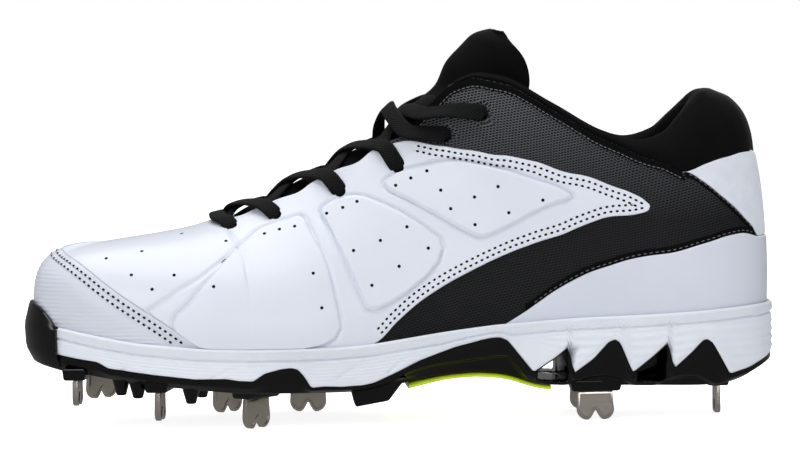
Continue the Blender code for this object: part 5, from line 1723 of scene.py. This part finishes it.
def makeGuard():
    toe = ring[:, 0].min() + wallGrow
    tries = np.arange(0.0, 6.0, 0.02)
    first = -max(t for t in tries if edgeOf(-t)[0][0] < toe + guardSizes["reach"])
    end = max(t for t in tries if edgeOf(t)[0][0] < toe + guardSizes["reach"])
    inner = wallGrow + 0.0002
    thick = guardSizes["thickness"]
    sections = []
    for i in range(guardSizes["columns"] + 1):
        part = i / guardSizes["columns"]
        turn = first + (end - first) * part
        x = edgeOf(turn)[0][0]
        rim = float(featherHeight(edgeOf(turn, wallGrow)[0][0]))
        low = float(plateHeight(x)) + 0.0006
        side = abs(2 * part - 1)
        share = shareAtHeight(turn, guardSizes["top"] - guardSizes["fall"] * side**4)
        swell = thick * (1 - 0.35 * side**6)
        knots = [
            np.append(edgeOf(turn, inner - guardSizes["under"] + 0.0006)[0], low),
            np.append(edgeOf(turn, inner)[0], low + 0.0050),
            np.append(edgeOf(turn, inner)[0], rim + 0.0006),
            skin(turn, share, 0.0010)[0], skin(turn, share, 0.0010 + swell * 0.7)[0],
            np.append(edgeOf(turn, inner + swell)[0], rim - 0.001),
            np.append(edgeOf(turn, inner + swell - 0.0005)[0], low + 0.0060),
            np.append(edgeOf(turn, inner + swell - guardSizes["under"])[0], low + 0.0004),
        ]
        closed = []
        for a, b in zip(knots, knots[1:] + knots[:1]):
            closed += [a * 0.85 + b * 0.15, a * 0.5 + b * 0.5, a * 0.15 + b * 0.85]
        sections.append(closed)
    sections = np.array(sections)
    around = sections.shape[1]

    def place(u, v):
        i = np.round(u * guardSizes["columns"]).astype(int)
        j = np.round(v * around).astype(int) % around
        return sections[i, j], np.stack([u * 60, v * 40], 1)

    bm, _, _ = makeGrid(guardSizes["columns"], around, place)
    mergeDoubles(bm)
    fillEnds(bm)
    return finishPiece("toeGuard", bm, [guardRubber], ["toe_guard"], sharp=50.0)


makeFoam()
makePlate()
makeLugs()
for row in spikeRows:
    makeSpike(*row)
makeStrip()
makeInsole()
makeGuard()
print("sole done")

# Stitches, perforations
stitchSizes = {
    "pitch": 0.0025, "thread": (0.0016, 0.00042, 0.0003), "hole": (0.0015, 0.0010, 0.00026),
    "rows": (0.0019, 0.0041), "throatPitch": 0.0022, "tapePitch": 0.0019, "hemPitch": 0.0024,
    "vent": (0.0015, 0.0015, 0.00012),
}


def besideLine(rows, distance, up):
    # A line on the upper moved sideways over its surface by distance, up or down.
    turns, shares = polyline(rows, step=0.0006)
    points = surface(turns, shares)
    ahead = unit(np.gradient(points, axis=0))
    sideways = np.cross(skinNormal(turns, shares), ahead)
    du = (surface(turns + 0.02, shares) - surface(turns - 0.02, shares)) / 0.04
    above = surface(turns, np.minimum(shares + 0.01, 1))
    dv = (above - surface(turns, np.maximum(shares - 0.01, 0))) / 0.02
    move = np.array([
        np.linalg.lstsq(np.stack([a, b], 1), c * distance, rcond=None)[0]
        for a, b, c in zip(du, dv, sideways)
    ])
    if (np.mean(move[:, 1]) > 0) != up:
        move = -move
    return turns + move[:, 0], shares + move[:, 1]


def evenSpots(turns, shares, pitch):
    run = runAlong(surface(turns, shares))
    where = np.arange(pitch / 2, run[-1], pitch)
    return np.interp(where, run, turns), np.interp(where, run, shares)


def addBead(bm, centre, ahead, normal, size):
    # A small flattened bead: length, width and height
    side = np.cross(normal, ahead)
    axes = np.stack([ahead * size[0], side * size[1], normal * size[2], centre + moved], 1)
    basis = Matrix([*axes.tolist(), (0, 0, 0, 1)])
    bmesh.ops.create_uvsphere(bm, u_segments=6, v_segments=4, radius=0.5, matrix=basis)


def sew(threads, holes, turns, shares, height, pitch=None):
    # Stitches along a line: beads of thread, and between them dark beads as painted shadow in the needle
    # holes.
    pitch = pitch or stitchSizes["pitch"]
    if len(turns) < 3:
        return
    spotTurns, spotShares = evenSpots(turns, shares, pitch)
    ahead = unit(np.gradient(surface(spotTurns, spotShares), axis=0))
    normals = skinNormal(spotTurns, spotShares)
    centres = skin(spotTurns, spotShares, height)
    for centre, forward, normal in zip(centres, ahead, normals):
        forward = forward - normal * np.dot(forward, normal)
        forward /= np.linalg.norm(forward)
        if threads is not None:
            addBead(threads, centre, forward, normal, stitchSizes["thread"])
        if holes is not None:
            addBead(holes, centre + forward * pitch / 2, forward, normal, stitchSizes["hole"])


def borderLine(side, track, first, end, count=60):
    return [(side * row, float(track(row))) for row in np.linspace(first, end, count)]


def makeStitches():
    white = bmesh.new()
    # dark beads for the needle holes: painted shadow
    dark = bmesh.new()
    grey = bmesh.new()
    tip = wingUpperRows[-1][0]
    wingTopHeight = wingSizes["thickness"]
    capTopHeight = capSizes["thickness"] + capSizes["lineRise"]
    for side in (-1, 1):
        tail = borderLine(side, wingUpper, 8.62, tip)
        low = borderLine(side, wingLower, 7.45, tip)
        toe = borderLine(side, toeSeam, 0.05, 4.5)
        for distance in stitchSizes["rows"]:
            # two rows inside each border of the overlay, short of its tip, and two below the toe seam
            turns, shares = besideLine(tail, distance, up=False)
            keep = (shares > wingLower(np.abs(turns)) + 0.02) & (np.abs(turns) < tip - distance * 40)
            sew(white, dark, turns[keep], shares[keep], wingTopHeight)
            turns, shares = besideLine(low, distance, up=True)
            keep = (shares > 0.012) & (np.abs(turns) < tip - distance * 40)
            sew(white, dark, turns[keep], shares[keep], wingTopHeight)
            turns, shares = besideLine(toe, distance * 1.1, up=False)
            keep = shares > 0.03
            sew(white, dark, turns[keep], shares[keep], capTopHeight)
        # beside the throat
        rows = np.linspace(5.95, 8.4, 90)
        shares = 1 - (0.0017 + eyestayDip(rows)) / ribLength(side * rows)
        sew(white, None, side * rows, shares, wingTopHeight, stitchSizes["throatPitch"])
        # on the binding, the hem and the hem's corner
        rows = np.linspace(bindingSizes["first"] + 0.04, bindingSizes["end"] - 0.04, 200)
        tape = seamBelowCollar(rows) - (bindingSizes["wide"] - 0.0007) / ribLength(side * rows)
        sew(grey, None, side * rows, tape, bindingSizes["thickness"], stitchSizes["tapePitch"])
        rows = np.linspace(hemSizes["first"] + 0.1, hemSizes["end"] - 0.05, 200)
        hem = counterUpper(rows) + hemSizes["wide"] * 0.45 / ribLength(side * rows)
        sew(grey, None, side * rows, hem, hemSizes["thickness"], stitchSizes["hemPitch"])
        rows = np.linspace(heelPanelRows[0][0] + 0.05, hemSizes["end"] - 0.05, 100)
        hem = heelPanelLower(rows) - hemSizes["wide"] * 0.45 / ribLength(side * rows)
        sew(grey, None, side * rows, hem, hemSizes["thickness"], stitchSizes["hemPitch"])
    finishPiece("whiteStitches", white, [whiteThread], sharp=0)
    # the needle holes' dark beads are painted shadow
    finishPiece("needleHoleShadows", dark, [holeShade], sharp=0)
    finishPiece("greyStitches", grey, [greyThread], sharp=0)


def makePerforations():
    # Each perforation is a dark flat disc, not a cut hole: the dark of the net below, and painted shade
    # inside the hole.
    holes = bmesh.new()
    for side in (-1, 1):
        for turn, share in perforations:
            turn = turn * side
            height = float(wingHeight(np.array([turn]), np.array([share]))[0])
            normal = skinNormal(turn, share)[0]
            centre = skin(turn, share, height + 0.00002)[0]
            ahead = unit(np.cross(normal, (0.0, 0.0, 1.0))[None])[0]
            addBead(holes, centre, ahead, normal, stitchSizes["vent"])
    finishPiece("ventHoles", holes, [holeShade], sharp=0)


makeStitches()
makePerforations()
print("stitches and holes done")

# Stage
camera = {
    "target": Vector((moved[0], moved[1], 0.0745)),
    "distance": 2.003,
    "azimuth": 3.0,
    "elevation": 3.1,
    "roll": 0.8,
    "lens": 222.885,
}
# Soft boxes: place, what they face, width and height, and power
softBoxes = {
    "overhead": ((-0.1, -0.1, 1.5), (0.0, 0.0, 0.05), (2.0, 1.4), 24.0),
    "front": ((-0.9, -1.7, 0.9), (0.0, 0.0, 0.06), (1.4, 1.0), 10.0),
    "low": ((0.45, -1.8, 0.32), (0.0, 0.0, 0.02), (1.0, 0.24), 2.6),
    "back": ((0.7, 1.6, 0.9), (0.0, 0.0, 0.08), (1.4, 1.0), 6.0),
}
# How bright the camera sees the floor, and how bright the room is to all that it lights
backdrop = {"floor": 0.88, "room": 0.19}


def makeStage():
    bm = bmesh.new()
    bmesh.ops.create_grid(bm, x_segments=1, y_segments=1, size=4.0)
    mesh = bpy.data.meshes.new("studioFloor")
    bm.to_mesh(mesh)
    bm.free()
    finish, tree, shader = newFinish("Matt paper sweep, white", "#ffffff", Roughness=1.0,
                                     Specular_IOR_Level=0.0, Emission_Color=(1.0, 1.0, 1.0, 1.0))
    seen = addNode(tree, "ShaderNodeLightPath").outputs["Is Camera Ray"]
    lit = addNode(tree, "ShaderNodeMath", {0: seen, 1: backdrop["floor"]}, operation="MULTIPLY")
    tree.links.new(lit.outputs[0], shader.inputs["Emission Strength"])
    mesh.materials.append(finish)
    floor = bpy.data.objects.new("studioFloor", mesh)
    bpy.context.scene.collection.objects.link(floor)
    floor.visible_glossy = False
    floor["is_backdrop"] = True
    world = bpy.data.worlds.new("Studio air")
    world.use_nodes = True
    back = world.node_tree.nodes["Background"]
    back.inputs["Color"].default_value = (1.0, 1.0, 1.0, 1.0)
    seen = addNode(world.node_tree, "ShaderNodeLightPath").outputs["Is Camera Ray"]
    level = addNode(world.node_tree, "ShaderNodeMapRange", {
        "Value": seen, "To Min": backdrop["room"], "To Max": 1.0,
    })
    world.node_tree.links.new(level.outputs["Result"], back.inputs["Strength"])
    bpy.context.scene.world = world
    bpy.context.scene.view_settings.view_transform = "Standard"


def softBox(name, place, aim, size, power):
    data = bpy.data.lights.new(name, "AREA")
    data.shape = "RECTANGLE"
    data.size = size[0]
    data.size_y = size[1]
    data.energy = power
    light = bpy.data.objects.new(name, data)
    bpy.context.scene.collection.objects.link(light)
    light.location = place
    light.rotation_euler = (Vector(aim) - Vector(place)).to_track_quat("-Z", "Y").to_euler()


def makeCamera():
    elevation = math.radians(camera["elevation"])
    azimuth = math.radians(camera["azimuth"])
    flat = math.cos(elevation)
    back = Vector((-math.sin(azimuth) * flat, -math.cos(azimuth) * flat, math.sin(elevation)))
    data = bpy.data.cameras.new("camera")
    data.lens = camera["lens"]
    data.sensor_width = 36.0
    data.clip_start = 0.05
    data.clip_end = 50.0
    made = bpy.data.objects.new("camera", data)
    bpy.context.scene.collection.objects.link(made)
    turn = (-back).to_track_quat("-Z", "Y").to_matrix().to_4x4()
    turn = turn @ Matrix.Rotation(math.radians(-camera["roll"]), 4, "Z")
    made.matrix_world = Matrix.Translation(camera["target"] + back * camera["distance"]) @ turn
    bpy.context.scene.camera = made


makeStage()
for name, sizes in softBoxes.items():
    softBox(name, *sizes)
makeCamera()
print("stage done")

sizes = {"cad": cadBox, "visual": [list(corner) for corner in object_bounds()]}
